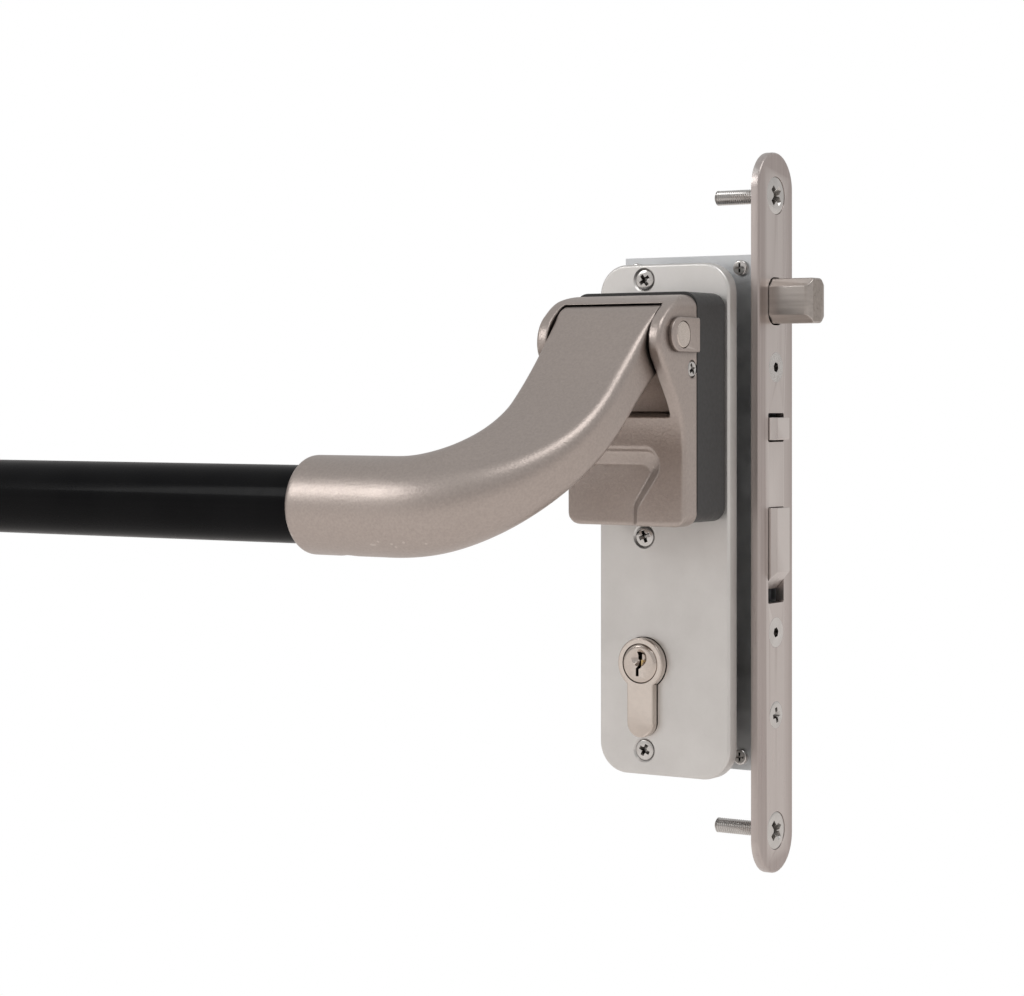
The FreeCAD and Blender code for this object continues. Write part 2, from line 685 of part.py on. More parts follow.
def round_section(centre, width_axis):
    """The socket's circle as four corner arcs and four short side arcs, to match the other sections."""
    def point(angle):
        a = math.radians(angle)
        return centre + (width_axis * math.cos(a) + ACROSS * math.sin(a)) * SOCKET_R

    edges = []
    for quarter in range(0, 360, 90):
        ends = (quarter + SIDE_ARC / 2, quarter + 90 - SIDE_ARC / 2, quarter + 90 + SIDE_ARC / 2)
        for start, end in (ends[:2], ends[1:]):
            edges.append(Part.Arc(point(start), point((start + end) / 2), point(end)).toShape())
    return Part.Wire(edges)


def between(start, end, share):
    return start + (end - start) * share


def arm_sections():
    sections = [arm_section(PIVOT + ALONG * s, X_AXIS, ARM_HALF_WIDTH, front, rear, radius)
                for s, front, rear, radius in STRAP_SECTIONS]
    _, front, rear, radius = STRAP_SECTIONS[-1]
    bend_centre = PIVOT + ALONG * BEND_START - X_AXIS * BEND_R
    for angle in range(0, 90, BEND_STEP):
        a = math.radians(angle)
        t = angle / 90
        ease = t * t * (3 - 2 * t)
        outward = X_AXIS * math.cos(a) + ALONG * math.sin(a)
        start = (ARM_HALF_WIDTH, front, rear, radius)
        end = (SOCKET_R, SOCKET_R, -SOCKET_R, SOCKET_R)
        sizes = [between(a, b, ease) for a, b in zip(start, end)]
        sections.append(arm_section(bend_centre + outward * BEND_R, outward, *sizes))
    sections.append(round_section(BAR_CENTRE - X_AXIS * BEND_R, ALONG))
    sections.append(round_section(BAR_CENTRE + X_AXIS * SOCKET_START, ALONG))
    return sections


def drive_lug():
    """The finger on the back of the head that lifts the slider."""
    tip_y, tip_z = lug_tip(LUG_REST_ANGLE)
    finger = box(LUG_X, (PIVOT_Y + HEAD_R * 0.5, PIVOT_Y + LUG_R), (PIVOT_Z - LUG_HALF, PIVOT_Z + LUG_HALF))
    finger.rotate(PIVOT, X_AXIS, LUG_REST_ANGLE)
    return finger.fuse(rod(LUG_TIP_R, (LUG_X[0], tip_y, tip_z), (LUG_X[1], tip_y, tip_z)))


def arm(with_lug):
    body = Part.makeLoft(arm_sections(), True, False)
    barrel = rod(SOCKET_R, (SOCKET_START, BAR_Y, BAR_Z), (SOCKET_END, BAR_Y, BAR_Z))
    body = body.fuse(rounded(barrel, SOCKET_LIP_R, at_level("X", SOCKET_END)))
    body = body.fuse(pin_line(HEAD_R, -ARM_HALF_WIDTH, ARM_HALF_WIDTH))
    if with_lug:
        body = body.fuse(drive_lug())
    bore = pin_line(BUSH_R)
    coil_room = pin_line(SPRING_POCKET_R, *SPRING_POCKET_X)
    leg_z = (PIVOT_Z - SPRING_POCKET_R, PIVOT_Z + LUG_HALF)
    leg_room = box(SPRING_POCKET_X, (PIVOT_Y, PIVOT_Y + LEG_ROOM), leg_z)
    socket = rod(BAR_R, (SOCKET_END - 1, BAR_Y, BAR_Z), (SOCKET_END + SOCKET_DEPTH, BAR_Y, BAR_Z))
    clamp_hole = rod(CLAMP_R, (CLAMP_X, BAR_Y, BAR_Z), (CLAMP_X, BAR_Y, BAR_Z - CUT_THROUGH))
    return body.cut([bore, coil_room, leg_room, socket, clamp_hole]).removeSplitter()


CLAMP_X = SOCKET_END + 16.0
CLAMP_R = 3.0
CLAMP_LENGTH = 4.4
CLAMP_SINK = 0.6
COIL_WIRE_R = 0.8
COIL_MEAN_R = 6.3
COIL_TURNS = 6
COIL_END_GAP = 1.2
COIL_LEG = 7.4
BAR_END_GAP = 1.0
CLAMP_HOLE_GAP = 0.05


def arm_bushes():
    """Flangeless bearing bushes pressed into both ends of the head."""
    spans = ((-ARM_HALF_WIDTH, SPRING_POCKET_X[0]), (SPRING_POCKET_X[1], ARM_HALF_WIDTH))
    return [pin_line(BUSH_R, a, b).cut(pin_line(PIN_R + RUNNING_CLEARANCE)) for a, b in spans]


def return_spring():
    """A torsion spring on the pin; its straight legs press on the housing's back and the head."""
    low, high = SPRING_POCKET_X[0] + COIL_END_GAP, SPRING_POCKET_X[1] - COIL_END_GAP
    body = coil(COIL_WIRE_R, COIL_MEAN_R, high - low, COIL_TURNS, X_AXIS, (low, PIVOT_Y, PIVOT_Z))
    z = PIVOT_Z - COIL_MEAN_R
    legs = [rod(COIL_WIRE_R, (x, PIVOT_Y, z), (x, PIVOT_Y + COIL_LEG, z)) for x in (low, high)]
    return body.fuse(legs)


def clamp_screw():
    """The grub screw that holds the bar in its socket, let in from below."""
    screw = grub_screw(CLAMP_R, CLAMP_LENGTH, hexagon_recess(3.0, 2.2))
    return placed(screw, (0, 0, -1), (CLAMP_X, BAR_Y, BAR_Z - SOCKET_R + CLAMP_SINK))


def bar_span():
    right = SOCKET_END + SOCKET_DEPTH - BAR_END_GAP
    return 2 * MIRROR_X - right, right


def crossbar_tube():
    a, b = bar_span()
    tube = ring(BAR_R, BAR_R - BAR_WALL, (a, BAR_Y, BAR_Z), (b, BAR_Y, BAR_Z))
    holes = []
    for x in (CLAMP_X, 2 * MIRROR_X - CLAMP_X):
        holes.append(rod(CLAMP_R + CLAMP_HOLE_GAP, (x, BAR_Y, BAR_Z - CUT_THROUGH), (x, BAR_Y, BAR_Z)))
    return tube.cut(holes)


def bar_inserts():
    """Solid plugs inside both tube ends, that the clamp screws bear on."""
    _, b = bar_span()
    start = b - SOCKET_DEPTH
    plug = rod(BAR_R - BAR_WALL, (start, BAR_Y, BAR_Z), (b, BAR_Y, BAR_Z))
    plug = bevelled(plug, 1.0, lambda e: e.XLength < 0.01)
    return [plug, mirrored(plug)]


# ---- the mortice lock ---------------------------------------------------------------------------

PILLAR_PLACES = ((-18.5, 83.2), (21.0, 83.2), (21.0, -78.2), (-18.5, -78.2))
PILLAR_R = 2.4
INNER_FRONT = CASE_FRONT + CASE_WALL
INNER_BACK = CASE_BACK - CASE_WALL
WINDOWS = {
    "bolt": ((LOCK_Y - 5.7, LOCK_Y + 5.7), (BOLT_Z - 7.9, BOLT_Z + 7.9), 4.6),
    "latch": ((LOCK_Y - 5.5, LOCK_Y + 5.5), (LATCH_Z - 15.85, LATCH_Z + 15.85), 0.6),
    "aux": ((LOCK_Y - 5.5, LOCK_Y + 5.5), (AUX_LATCH_Z - 4.75, AUX_LATCH_Z + 4.75), 0.6),
}


def window_cutters(low, high):
    return [prism(rectangle(y, z, r), "YZ", low, high) for y, z, r in WINDOWS.values()]


def front_hole(radius, z, low, high):
    return rod(radius, (low, LOCK_Y, z), (high, LOCK_Y, z))


FOREND_SCREW_HEAD_R = 6.3
FOREND_SCREW_R = 2.5
CASE_SCREW_HEAD_R = 5.0
CYLINDER_SCREW_HEAD_R = 4.5
LOCK_SCREW_R = 2.5
FOREND_SCREW_SINK = 0.3
FOREND_SCREW_LENGTH = 22.0
FOREND_SCREW_DOME = 0.5
FOREND_END_FLAT = 0.02
FOREND_EDGE_R = 0.7
CASE_SCREW_LENGTH = 11.0
CYLINDER_SCREW_DOME = 0.3
CYLINDER_SCREW_REACH = 3.5
CASE_CORNER = 1.5
CASE_NUT_X = (17.5, FOREND_BACK - CASE_WALL)
CASE_NUT_Y = (14.4, INNER_BACK)
CASE_NUT_HALF_HEIGHT = 4.0
CASE_GAP = 0.3
FOLLOWER_JOURNAL_R = 8.0
COVER_SCREW_R = 1.5
COVER_SCREW_LENGTH = 8.0
COVER_HEAD_R = 2.6
COVER_HEAD_HEIGHT = 1.4
COVER_HEAD_EDGE_R = 0.6
PILLAR_BORE = 7.0


def along_x(shape, x, z):
    return placed(shape, (1, 0, 0), (x, LOCK_Y, z))


def forend():
    half = FOREND_WIDTH / 2
    z = (FOREND_Z - FOREND_LENGTH / 2, FOREND_Z + FOREND_LENGTH / 2)
    outline = rectangle((LOCK_Y - half, LOCK_Y + half), z, half - FOREND_END_FLAT)
    plate = prism(outline, "YZ", FOREND_BACK, FOREND_FRONT)
    plate = rounded(plate, FOREND_EDGE_R, at_level("X", FOREND_FRONT))
    cuts = window_cutters(FOREND_BACK, FOREND_FRONT)
    fixing_hole = countersink(FOREND_SCREW_HEAD_R, FOREND_SCREW_R, CUT_THROUGH)
    cuts += [along_x(fixing_hole, FOREND_FRONT - FOREND_SCREW_SINK, z) for z in FOREND_SCREW_Z]
    case_hole = countersink(CASE_SCREW_HEAD_R, LOCK_SCREW_R, CUT_THROUGH)
    cuts += [along_x(case_hole, FOREND_FRONT, z) for z in CASE_SCREW_Z]
    cylinder_hole = countersink(CYLINDER_SCREW_HEAD_R, LOCK_SCREW_R, CUT_THROUGH)
    cuts.append(along_x(cylinder_hole, FOREND_FRONT, CYLINDER_SCREW_Z))
    return plate.cut(cuts)


def forend_screws():
    screw = countersunk_screw(FOREND_SCREW_HEAD_R, FOREND_SCREW_R, FOREND_SCREW_LENGTH,
                              cross_recess(3.3, 3.0), FOREND_SCREW_DOME)
    return group([along_x(screw, FOREND_FRONT - FOREND_SCREW_SINK, z) for z in FOREND_SCREW_Z])


def forend_case_screws():
    screw = countersunk_screw(CASE_SCREW_HEAD_R, LOCK_SCREW_R, CASE_SCREW_LENGTH, hexagon_recess(3.0, 2.4))
    return group([along_x(screw, FOREND_FRONT, z) for z in CASE_SCREW_Z])


def cylinder_fixing_screw():
    length = FOREND_FRONT - SPINDLE_X + CYLINDER_SCREW_REACH
    screw = countersunk_screw(CYLINDER_SCREW_HEAD_R, LOCK_SCREW_R, length, cross_recess(2.6, 2.2),
                              CYLINDER_SCREW_DOME)
    return along_x(screw, FOREND_FRONT, CYLINDER_SCREW_Z)


def lock_case():
    """The folded steel tray: back wall and four sides, with the windows and holes of its bolts."""
    x = (CASE_LEFT, FOREND_BACK)
    z = (CASE_BOTTOM, CASE_TOP)
    tray = box(x, (INNER_FRONT, CASE_BACK), z)
    hollow = box((x[0] + CASE_WALL, x[1] - CASE_WALL), (INNER_FRONT, INNER_BACK),
                 (z[0] + CASE_WALL, z[1] - CASE_WALL))
    tray = rounded(tray, CASE_CORNER, lambda b: b.XLength < 0.01 and b.ZLength < 0.01)
    tray = tray.cut(hollow)
    half = CASE_NUT_HALF_HEIGHT
    tray = tray.fuse([box(CASE_NUT_X, CASE_NUT_Y, (z - half, z + half)) for z in CASE_SCREW_Z])
    cuts = window_cutters(CASE_NUT_X[1] - CUT_START, FOREND_BACK)
    cuts += [front_hole(LOCK_SCREW_R, z, CASE_NUT_X[0], FOREND_BACK) for z in CASE_SCREW_Z]
    cuts += [front_hole(LOCK_SCREW_R, CYLINDER_SCREW_Z, CASE_NUT_X[0], FOREND_BACK),
             euro_profile(INNER_BACK, CASE_BACK, CASE_GAP), follower_hole(INNER_BACK, CASE_BACK)]
    return tray.cut(cuts).removeSplitter()


def follower_hole(low, high):
    return spindle_rod(FOLLOWER_JOURNAL_R + RUNNING_CLEARANCE, low, high)


def lock_case_cover():
    cover = box((CASE_LEFT, FOREND_BACK), (CASE_FRONT, INNER_FRONT), (CASE_BOTTOM, CASE_TOP))
    cuts = [euro_profile(CASE_FRONT, INNER_FRONT, CASE_GAP), follower_hole(CASE_FRONT, INNER_FRONT)]
    cuts += [rod(COVER_SCREW_R, (x, CASE_FRONT, z), (x, INNER_FRONT, z)) for x, z in PILLAR_PLACES]
    return cover.cut(cuts)


def case_pillars():
    pillars = []
    for x, z in PILLAR_PLACES:
        pillar = rod(PILLAR_R, (x, INNER_FRONT, z), (x, INNER_BACK, z))
        bore = rod(COVER_SCREW_R, (x, INNER_FRONT, z), (x, INNER_FRONT + PILLAR_BORE, z))
        pillars.append(pillar.cut(bore))
    return group(pillars)


def cover_screws():
    head = rod(COVER_HEAD_R, (0, 0, 0), (0, 0, COVER_HEAD_HEIGHT))
    head = rounded(head, COVER_HEAD_EDGE_R, at_level("Z", COVER_HEAD_HEIGHT))
    recess = cross_recess(1.6, 1.0)
    recess.translate(Vector(0, 0, COVER_HEAD_HEIGHT))
    screw = head.fuse(rod(COVER_SCREW_R, (0, 0, -COVER_SCREW_LENGTH), (0, 0, 0))).cut(recess)
    return group([placed(screw, (0, -1, 0), (x, CASE_FRONT, z)) for x, z in PILLAR_PLACES])


FOLLOWER_LAYER = (14.2, 18.2)
FOLLOWER_HUB_R = 10.0
FOLLOWER_SIDE_GAP = 0.2
JOURNAL_GAP = 0.1
LEVER_FOOT_HALF = 4.5
LEVER_TIP_HALF = 3.2
FOLLOWER_PIN_R = 2.5
LAYER_GAP = 0.1
CARRIAGE_LAYER = (INNER_FRONT + LAYER_GAP, INNER_FRONT + LAYER_GAP + 2.0)
BOLT_REAR = 8.0
BOLT_NOSE_R = 2.5
BOLT_BEVEL = 2.7
BOLT_EDGE_R = 0.8
BOLT_FAR_R = 1.0
BOLT_SEAT_GAP = 0.2


def follower_tip():
    a = math.radians(CRANK_HALF_SWING)
    return SPINDLE_X + FOLLOWER_R * math.sin(a), SPINDLE_Z + FOLLOWER_R * math.cos(a)


def follower():
    """The lock's follower: journals in both case walls, and an arm whose pin draws the carriage."""
    x, z = follower_tip()
    hub = spindle_rod(FOLLOWER_HUB_R, INNER_FRONT + FOLLOWER_SIDE_GAP, INNER_BACK - FOLLOWER_SIDE_GAP)
    journal = spindle_rod(FOLLOWER_JOURNAL_R, CASE_FRONT + JOURNAL_GAP, CASE_BACK - JOURNAL_GAP)
    foot, tip = LEVER_FOOT_HALF, LEVER_TIP_HALF
    top, tip_r = FOLLOWER_R + tip, tip - 0.1
    lever = prism([(-foot, 0), (foot, 0), (tip, top, tip_r), (-tip, top, tip_r)], "XZ", *FOLLOWER_LAYER)
    lever.rotate(DATUM, Y_AXIS, CRANK_HALF_SWING)
    lever.translate(Vector(SPINDLE_X, 0, SPINDLE_Z))
    pin = rod(FOLLOWER_PIN_R, (x, CARRIAGE_LAYER[0] + LAYER_GAP, z), (x, FOLLOWER_LAYER[1], z))
    square_hole = square_bar(SPINDLE_SIDE, 0, SPINDLE_BACK)
    return hub.fuse([journal, lever, pin]).cut(square_hole).removeSplitter()


CARRIAGE_STRIP_X = (18.9, 23.4)
CARRIAGE_X = (-5.2, 23.4)
CARRIAGE_Z = (-28.0, 78.0)
CARRIAGE_WIDE_Z = 56.5
CARRIAGE_CORNER = 2.0
CARRIAGE_SLOT_HALF = 2.8
CARRIAGE_SLOT_FOOT = 50.0
CARRIAGE_SLOT_RISE = 4.6
RIVET_PLACES = ((12.0, 71.6), (18.5, 71.6))
RIVET_R = 1.5
RIVET_END = LOCK_Y + 4.0


def rivet_rods(start):
    return [rod(RIVET_R, (x, start, z), (x, RIVET_END, z)) for x, z in RIVET_PLACES]


def bolt_carriage():
    """The sliding plate that the follower draws back, with the deadbolt riveted to it."""
    x, z = follower_tip()
    top = box(CARRIAGE_X, CARRIAGE_LAYER, (CARRIAGE_WIDE_Z, CARRIAGE_Z[1]))
    top = rounded(top, CARRIAGE_CORNER, lambda b: b.XMax < CARRIAGE_X[0] + 0.1 and b.ZLength < 0.01)
    strip = box(CARRIAGE_STRIP_X, CARRIAGE_LAYER, (CARRIAGE_Z[0], CARRIAGE_WIDE_Z))
    half = CARRIAGE_SLOT_HALF
    slot = box((x - half, x + half), CARRIAGE_LAYER, (CARRIAGE_SLOT_FOOT, z + CARRIAGE_SLOT_RISE))
    return top.fuse(strip).cut([slot] + rivet_rods(0)).removeSplitter()


def carriage_rivets():
    return group(rivet_rods(CARRIAGE_LAYER[0]))


def deadbolt():
    """The bolt: a linished bar with broad bevels and a nose rounded on its near side."""
    y = (LOCK_Y - BOLT_WIDTH / 2, LOCK_Y + BOLT_WIDTH / 2)
    z = (BOLT_Z - BOLT_HEIGHT / 2, BOLT_Z + BOLT_HEIGHT / 2)
    nose = FOREND_FRONT + BOLT_THROW
    plan = [(BOLT_REAR, y[0]), (nose, y[0], BOLT_NOSE_R), (nose, y[1], BOLT_FAR_R), (BOLT_REAR, y[1])]
    near, far = y[0] + BOLT_BEVEL, y[1] - BOLT_BEVEL
    section = [(near, z[0]), (far, z[0]), (y[1], z[0] + BOLT_BEVEL), (y[1], z[1] - BOLT_BEVEL),
               (far, z[1]), (near, z[1]), (y[0], z[1] - BOLT_BEVEL), (y[0], z[0] + BOLT_BEVEL)]
    side = [(BOLT_REAR, z[0]), (nose, z[0], BOLT_EDGE_R), (nose, z[1], BOLT_EDGE_R), (BOLT_REAR, z[1])]
    bolt = prism(plan, "XY", *z).common(prism(section, "YZ", BOLT_REAR, nose)).common(prism(side, "XZ", *y))
    seat = box((BOLT_REAR, CARRIAGE_X[1] + BOLT_SEAT_GAP), (INNER_FRONT, CARRIAGE_LAYER[1]), z)
    return bolt.cut([seat] + rivet_rods(0))


WEDGE_LIFT = 0.1
LATCH_TOP = LATCH_Z + 15.6
LATCH_FOOT = LATCH_TOP - 27.0
LATCH_TAIL_X = (2.0, 22.0)
LATCH_ROD_END = -16.0
LATCH_ROD_R = 1.8
LATCH_ROD_Y = 17.6
LATCH_ROD_Z = -9.0
LATCH_HALF_WIDTH = 5.2
LATCH_HEAD_BACK = 26.0
LATCH_NECK_MARGIN = 2.0
LATCH_TAIL_Y = (14.2, 21.0)
LATCH_TAIL_Z = (-14.0, -4.0)
LATCH_SIDE_CUT = (1.7, 1.7)
LATCH_FOOT_CUT = (5.0, 6.0)
LATCH_SPRING_WIRE_R = 0.45
LATCH_SPRING_R = 3.2
LATCH_SPRING_TURNS = 7
CATCH_X = (2.3, 5.2)
CATCH_Y = (CARRIAGE_LAYER[0] + LAYER_GAP, 14.4)
CATCH_Z = (-12.5, -5.5)


def wedge_head(y, z, back, nose, side_cut, foot_cut):
    """A latch head: a block whose front is bevelled on its near side and along its foot."""
    outside_nose, outside_y, outside_z = nose + WEDGE_LIFT, y[0] - WEDGE_LIFT, z[0] - WEDGE_LIFT
    side = [(nose - side_cut[0], outside_y), (outside_nose, outside_y), (outside_nose, y[0] + side_cut[1])]
    foot = [(nose - foot_cut[0], outside_z), (outside_nose, outside_z), (outside_nose, z[0] + foot_cut[1])]
    cuts = [prism(side, "XY", z[0] - 1, z[1] + 1), prism(foot, "XZ", y[0] - 1, y[1] + 1)]
    return box((back, nose), y, z).cut(cuts)


def latch_bolt():
    """The latch: a wedge head, a tail with the catch that the carriage draws, and its spring's rod."""
    wide = (LOCK_Y - LATCH_HALF_WIDTH, LOCK_Y + LATCH_HALF_WIDTH)
    nose = FOREND_FRONT + LATCH_THROW
    head = wedge_head(wide, (LATCH_FOOT, LATCH_TOP), LATCH_HEAD_BACK, nose, LATCH_SIDE_CUT, LATCH_FOOT_CUT)
    neck = box((LATCH_TAIL_X[1] - 1, LATCH_HEAD_BACK), (LATCH_TAIL_Y[0], wide[1]),
               (LATCH_FOOT + LATCH_NECK_MARGIN, LATCH_TOP - LATCH_NECK_MARGIN))
    tail = box(LATCH_TAIL_X, LATCH_TAIL_Y, LATCH_TAIL_Z)
    catch = box(CATCH_X, CATCH_Y, CATCH_Z)
    spring_rod = rod(LATCH_ROD_R, (LATCH_ROD_END, LATCH_ROD_Y, LATCH_ROD_Z),
                     (LATCH_TAIL_X[0] + 1, LATCH_ROD_Y, LATCH_ROD_Z))
    return head.fuse([neck, tail, catch, spring_rod]).removeSplitter()


def latch_spring():
    wire = LATCH_SPRING_WIRE_R
    low = CASE_LEFT + CASE_WALL + wire
    length = LATCH_TAIL_X[0] - wire - low
    return coil(wire, LATCH_SPRING_R, length, LATCH_SPRING_TURNS, X_AXIS, (low, LATCH_ROD_Y, LATCH_ROD_Z))


AUX_BODY_X = (12.0, 26.2)
AUX_BODY_Y = (14.4, 21.4)
AUX_HEAD_Z = (AUX_LATCH_Z - 4.1, AUX_LATCH_Z + 3.3)
AUX_SHORT = 0.1
AUX_SIDE_CUT = (1.8, 2.2)
AUX_FOOT_CUT = (0.5, 0.5)
AUX_ROD_R = 1.3
AUX_ROD_Y = LOCK_Y + 1
AUX_ROD_LENGTH = 3.6
AUX_SPRING_WIRE_R = 0.4
AUX_SPRING_R = 2.2
AUX_SPRING_TURNS = 3


def aux_latch():
    """The small sprung latch above the main one."""
    wide = (LOCK_Y - LATCH_HALF_WIDTH, LOCK_Y + LATCH_HALF_WIDTH)
    nose = FOREND_FRONT + LATCH_THROW - AUX_SHORT
    head = wedge_head(wide, AUX_HEAD_Z, AUX_BODY_X[1], nose, AUX_SIDE_CUT, AUX_FOOT_CUT)
    body = box(AUX_BODY_X, AUX_BODY_Y, AUX_HEAD_Z)
    spring_rod = rod(AUX_ROD_R, (AUX_BODY_X[0] - AUX_ROD_LENGTH, AUX_ROD_Y, AUX_LATCH_Z),
                     (AUX_BODY_X[0] + 1, AUX_ROD_Y, AUX_LATCH_Z))
    return head.fuse([body, spring_rod]).removeSplitter()


AUX_STOP_X = (3.6, 5.2)
AUX_STOP_FOOT_END = 10.4
AUX_STOP_FOOT_HEIGHT = 0.7
AUX_STOP_HALF = 4.0


def aux_latch_stop():
    """The bent stop behind the auxiliary latch, welded to the case's back wall."""
    z = (AUX_LATCH_Z - AUX_STOP_HALF, AUX_LATCH_Z + AUX_STOP_HALF)
    upright = box(AUX_STOP_X, (AUX_BODY_Y[0], INNER_BACK), z)
    foot = box((AUX_STOP_X[0], AUX_STOP_FOOT_END), (INNER_BACK - AUX_STOP_FOOT_HEIGHT, INNER_BACK), z)
    return upright.fuse(foot).removeSplitter()


def aux_latch_spring():
    wire = AUX_SPRING_WIRE_R
    low = AUX_STOP_X[1] + wire
    length = AUX_BODY_X[0] - wire - low
    return coil(wire, AUX_SPRING_R, length, AUX_SPRING_TURNS, X_AXIS, (low, AUX_ROD_Y, AUX_LATCH_Z))


# ---- the profile cylinder -----------------------------------------------------------------------

CAM_GAP = (LOCK_Y - 5.0, LOCK_Y + 5.0)
CAM_Y = (LOCK_Y - 4.8, LOCK_Y + 4.8)
CAM_END_GAP = 0.1
CAM_TIP_GAP = 0.5
CYLINDER_EDGE_R = 0.5
CAM_NOSE_HALF_WIDTH = 3.9
CAM_COLLAR_R = 7.6
CAM_REST_ANGLE = 30


def cylinder_body():
    """Double profile cylinder: two barrels joined by the web under the cam."""
    body = euro_profile(CYLINDER_FRONT, CYLINDER_REAR)
    for level in (CYLINDER_FRONT, CYLINDER_REAR):
        body = rounded(body, CYLINDER_EDGE_R, at_level("Y", level))
    room_r = CAM_R + CAM_TIP_GAP
    cam_room = rod(room_r, (SPINDLE_X, CAM_GAP[0], CYLINDER_Z), (SPINDLE_X, CAM_GAP[1], CYLINDER_Z))
    plug_room = rod(PLUG_R + RUNNING_CLEARANCE, (SPINDLE_X, CYLINDER_FRONT, CYLINDER_Z),
                    (SPINDLE_X, CYLINDER_REAR, CYLINDER_Z))
    half = CYLINDER_WEB / 2
    screw_room = front_hole(LOCK_SCREW_R, CYLINDER_SCREW_Z, SPINDLE_X - half + 1, SPINDLE_X + half)
    return body.cut([cam_room, plug_room, screw_room])


# The keyway's corners, measured from the plug's axis.
KEYWAY = ((-1.2, -4.2), (-0.1, -4.2), (-0.1, -1.8), (0.9, -1.2), (0.9, 0.4), (0.4, 1.0), (0.4, 3.9),
          (-1.1, 3.9), (-1.1, 1.4), (-0.5, 0.8), (-0.5, -0.9), (-1.2, -1.6))
PLUG_PROUD = 0.6
PLUG_EDGE_R = 1.5
FUNNEL_RISE = 1.9
FUNNEL = (2.9, 1.3, 1.5)


def keyway():
    """A paracentric keyway: a tall slot with two offset ribs."""
    return [(SPINDLE_X + x, CYLINDER_Z + z) for x, z in KEYWAY]


def cylinder_plug(front):
    """A plug that stands a little proud, with a funnel that leads the key into its keyway."""
    if front:
        y = (CYLINDER_FRONT - PLUG_PROUD, CAM_Y[0])
    else:
        y = (CAM_Y[1] + CAM_END_GAP, CYLINDER_REAR + PLUG_PROUD)
    face, inward = (y[0], 1) if front else (y[1], -1)
    plug = rod(PLUG_R, (SPINDLE_X, y[0], CYLINDER_Z), (SPINDLE_X, y[1], CYLINDER_Z))
    plug = rounded(plug, PLUG_EDGE_R, at_level("Y", face))
    mouth = Vector(SPINDLE_X, face, CYLINDER_Z + FUNNEL_RISE)
    funnel = Part.makeCone(*FUNNEL, mouth, Vector(0, inward, 0))
    way = prism(keyway(), "XZ", y[0] - 1, y[1] + 1)
    return plug.cut([way, funnel])


def cylinder_cam():
    """The cam between the plugs: a collar with one nose, at rest pointing down and aside."""
    nose = box((-CAM_NOSE_HALF_WIDTH, CAM_NOSE_HALF_WIDTH), CAM_Y, (-CAM_R, 0))
    nose = nose.common(rod(CAM_R, (0, CAM_Y[0], 0), (0, CAM_Y[1], 0)))
    collar = rod(CAM_COLLAR_R, (0, CAM_Y[0], 0), (0, CAM_Y[1], 0))
    cam = nose.fuse(collar).removeSplitter()
    cam.rotate(DATUM, Y_AXIS, CAM_REST_ANGLE)
    cam.translate(Vector(SPINDLE_X, 0, CYLINDER_Z))
    return cam.cut(prism(keyway(), "XZ", CAM_Y[0] - 1, CAM_Y[1] + 1))


# ---- the hinge-side bracket ---------------------------------------------------------------------

HINGE_PLATE_HEIGHT = 110.0
HINGE_PLATE_Z = 30.0
HINGE_SCREW_Z = (79.3, -19.3)


def hinge_backplate():
    plate = backplate(HINGE_PLATE_HEIGHT, HINGE_PLATE_Z)
    return mirrored(plate.cut(plate_holes(HINGE_SCREW_Z, SPINDLE_X) + box_screw_holes()))


# ---- writing the nodes --------------------------------------------------------------------------


def main():
    """Builds every node and writes it as a STEP file."""
    os.makedirs("parts", exist_ok=True)
    bracket = {
        "housing": housing(),
        "pivot_pin": pivot_pin(),
        "pin_caps": group(pin_caps()),
        "housing_side_screws": group(side_screws()),
        "arm_bushes": group(arm_bushes()),
        "return_spring": return_spring(),
        "bar_clamp_screw": clamp_screw(),
        "box_screws": box_screws(),
    }
    for name, shape in bracket.items():
        save(name + "_lock_side", shape)
        save(name + "_hinge_side", mirrored(shape))
    nodes = {
        "arm_lock_side": arm(True),
        "arm_hinge_side": mirrored(arm(False)),
        "crossbar_tube": crossbar_tube(),
        "crossbar_inserts": group(bar_inserts()),
        "lock_backplate": lock_backplate(),
        "lock_plate_screws": group(plate_screws(PLATE_SCREW_Z, SPINDLE_X)),
        "drive_box": box_shell(True),
        "drive_slider": drive_slider(),
        "slider_spring": slider_spring(),
        "drive_crank": drive_crank(),
        "spindle": spindle(),
        "hinge_backplate": hinge_backplate(),
        "hinge_plate_screws": mirrored(group(plate_screws(HINGE_SCREW_Z, SPINDLE_X))),
        "hinge_box": mirrored(box_shell(False)),
        "forend": forend(),
        "forend_screws": forend_screws(),
        "forend_case_screws": forend_case_screws(),
        "lock_case": lock_case(),
        "lock_case_cover": lock_case_cover(),
        "case_pillars": case_pillars(),
        "cover_screws": cover_screws(),
        "follower": follower(),
        "bolt_carriage": bolt_carriage(),
        "carriage_rivets": carriage_rivets(),
        "deadbolt": deadbolt(),
        "latch_bolt": latch_bolt(),
        "latch_spring": latch_spring(),
        "aux_latch": aux_latch(),
        "aux_latch_stop": aux_latch_stop(),
        "aux_latch_spring": aux_latch_spring(),
        "cylinder_body": cylinder_body(),
        "cylinder_front_plug": cylinder_plug(True),
        "cylinder_rear_plug": cylinder_plug(False),
        "cylinder_cam": cylinder_cam(),
        "cylinder_fixing_screw": cylinder_fixing_screw(),
    }
    for name, shape in nodes.items():
        save(name, shape)


main()
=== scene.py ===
import json
import math
import bmesh
import bpy
from mathutils import Matrix, Vector


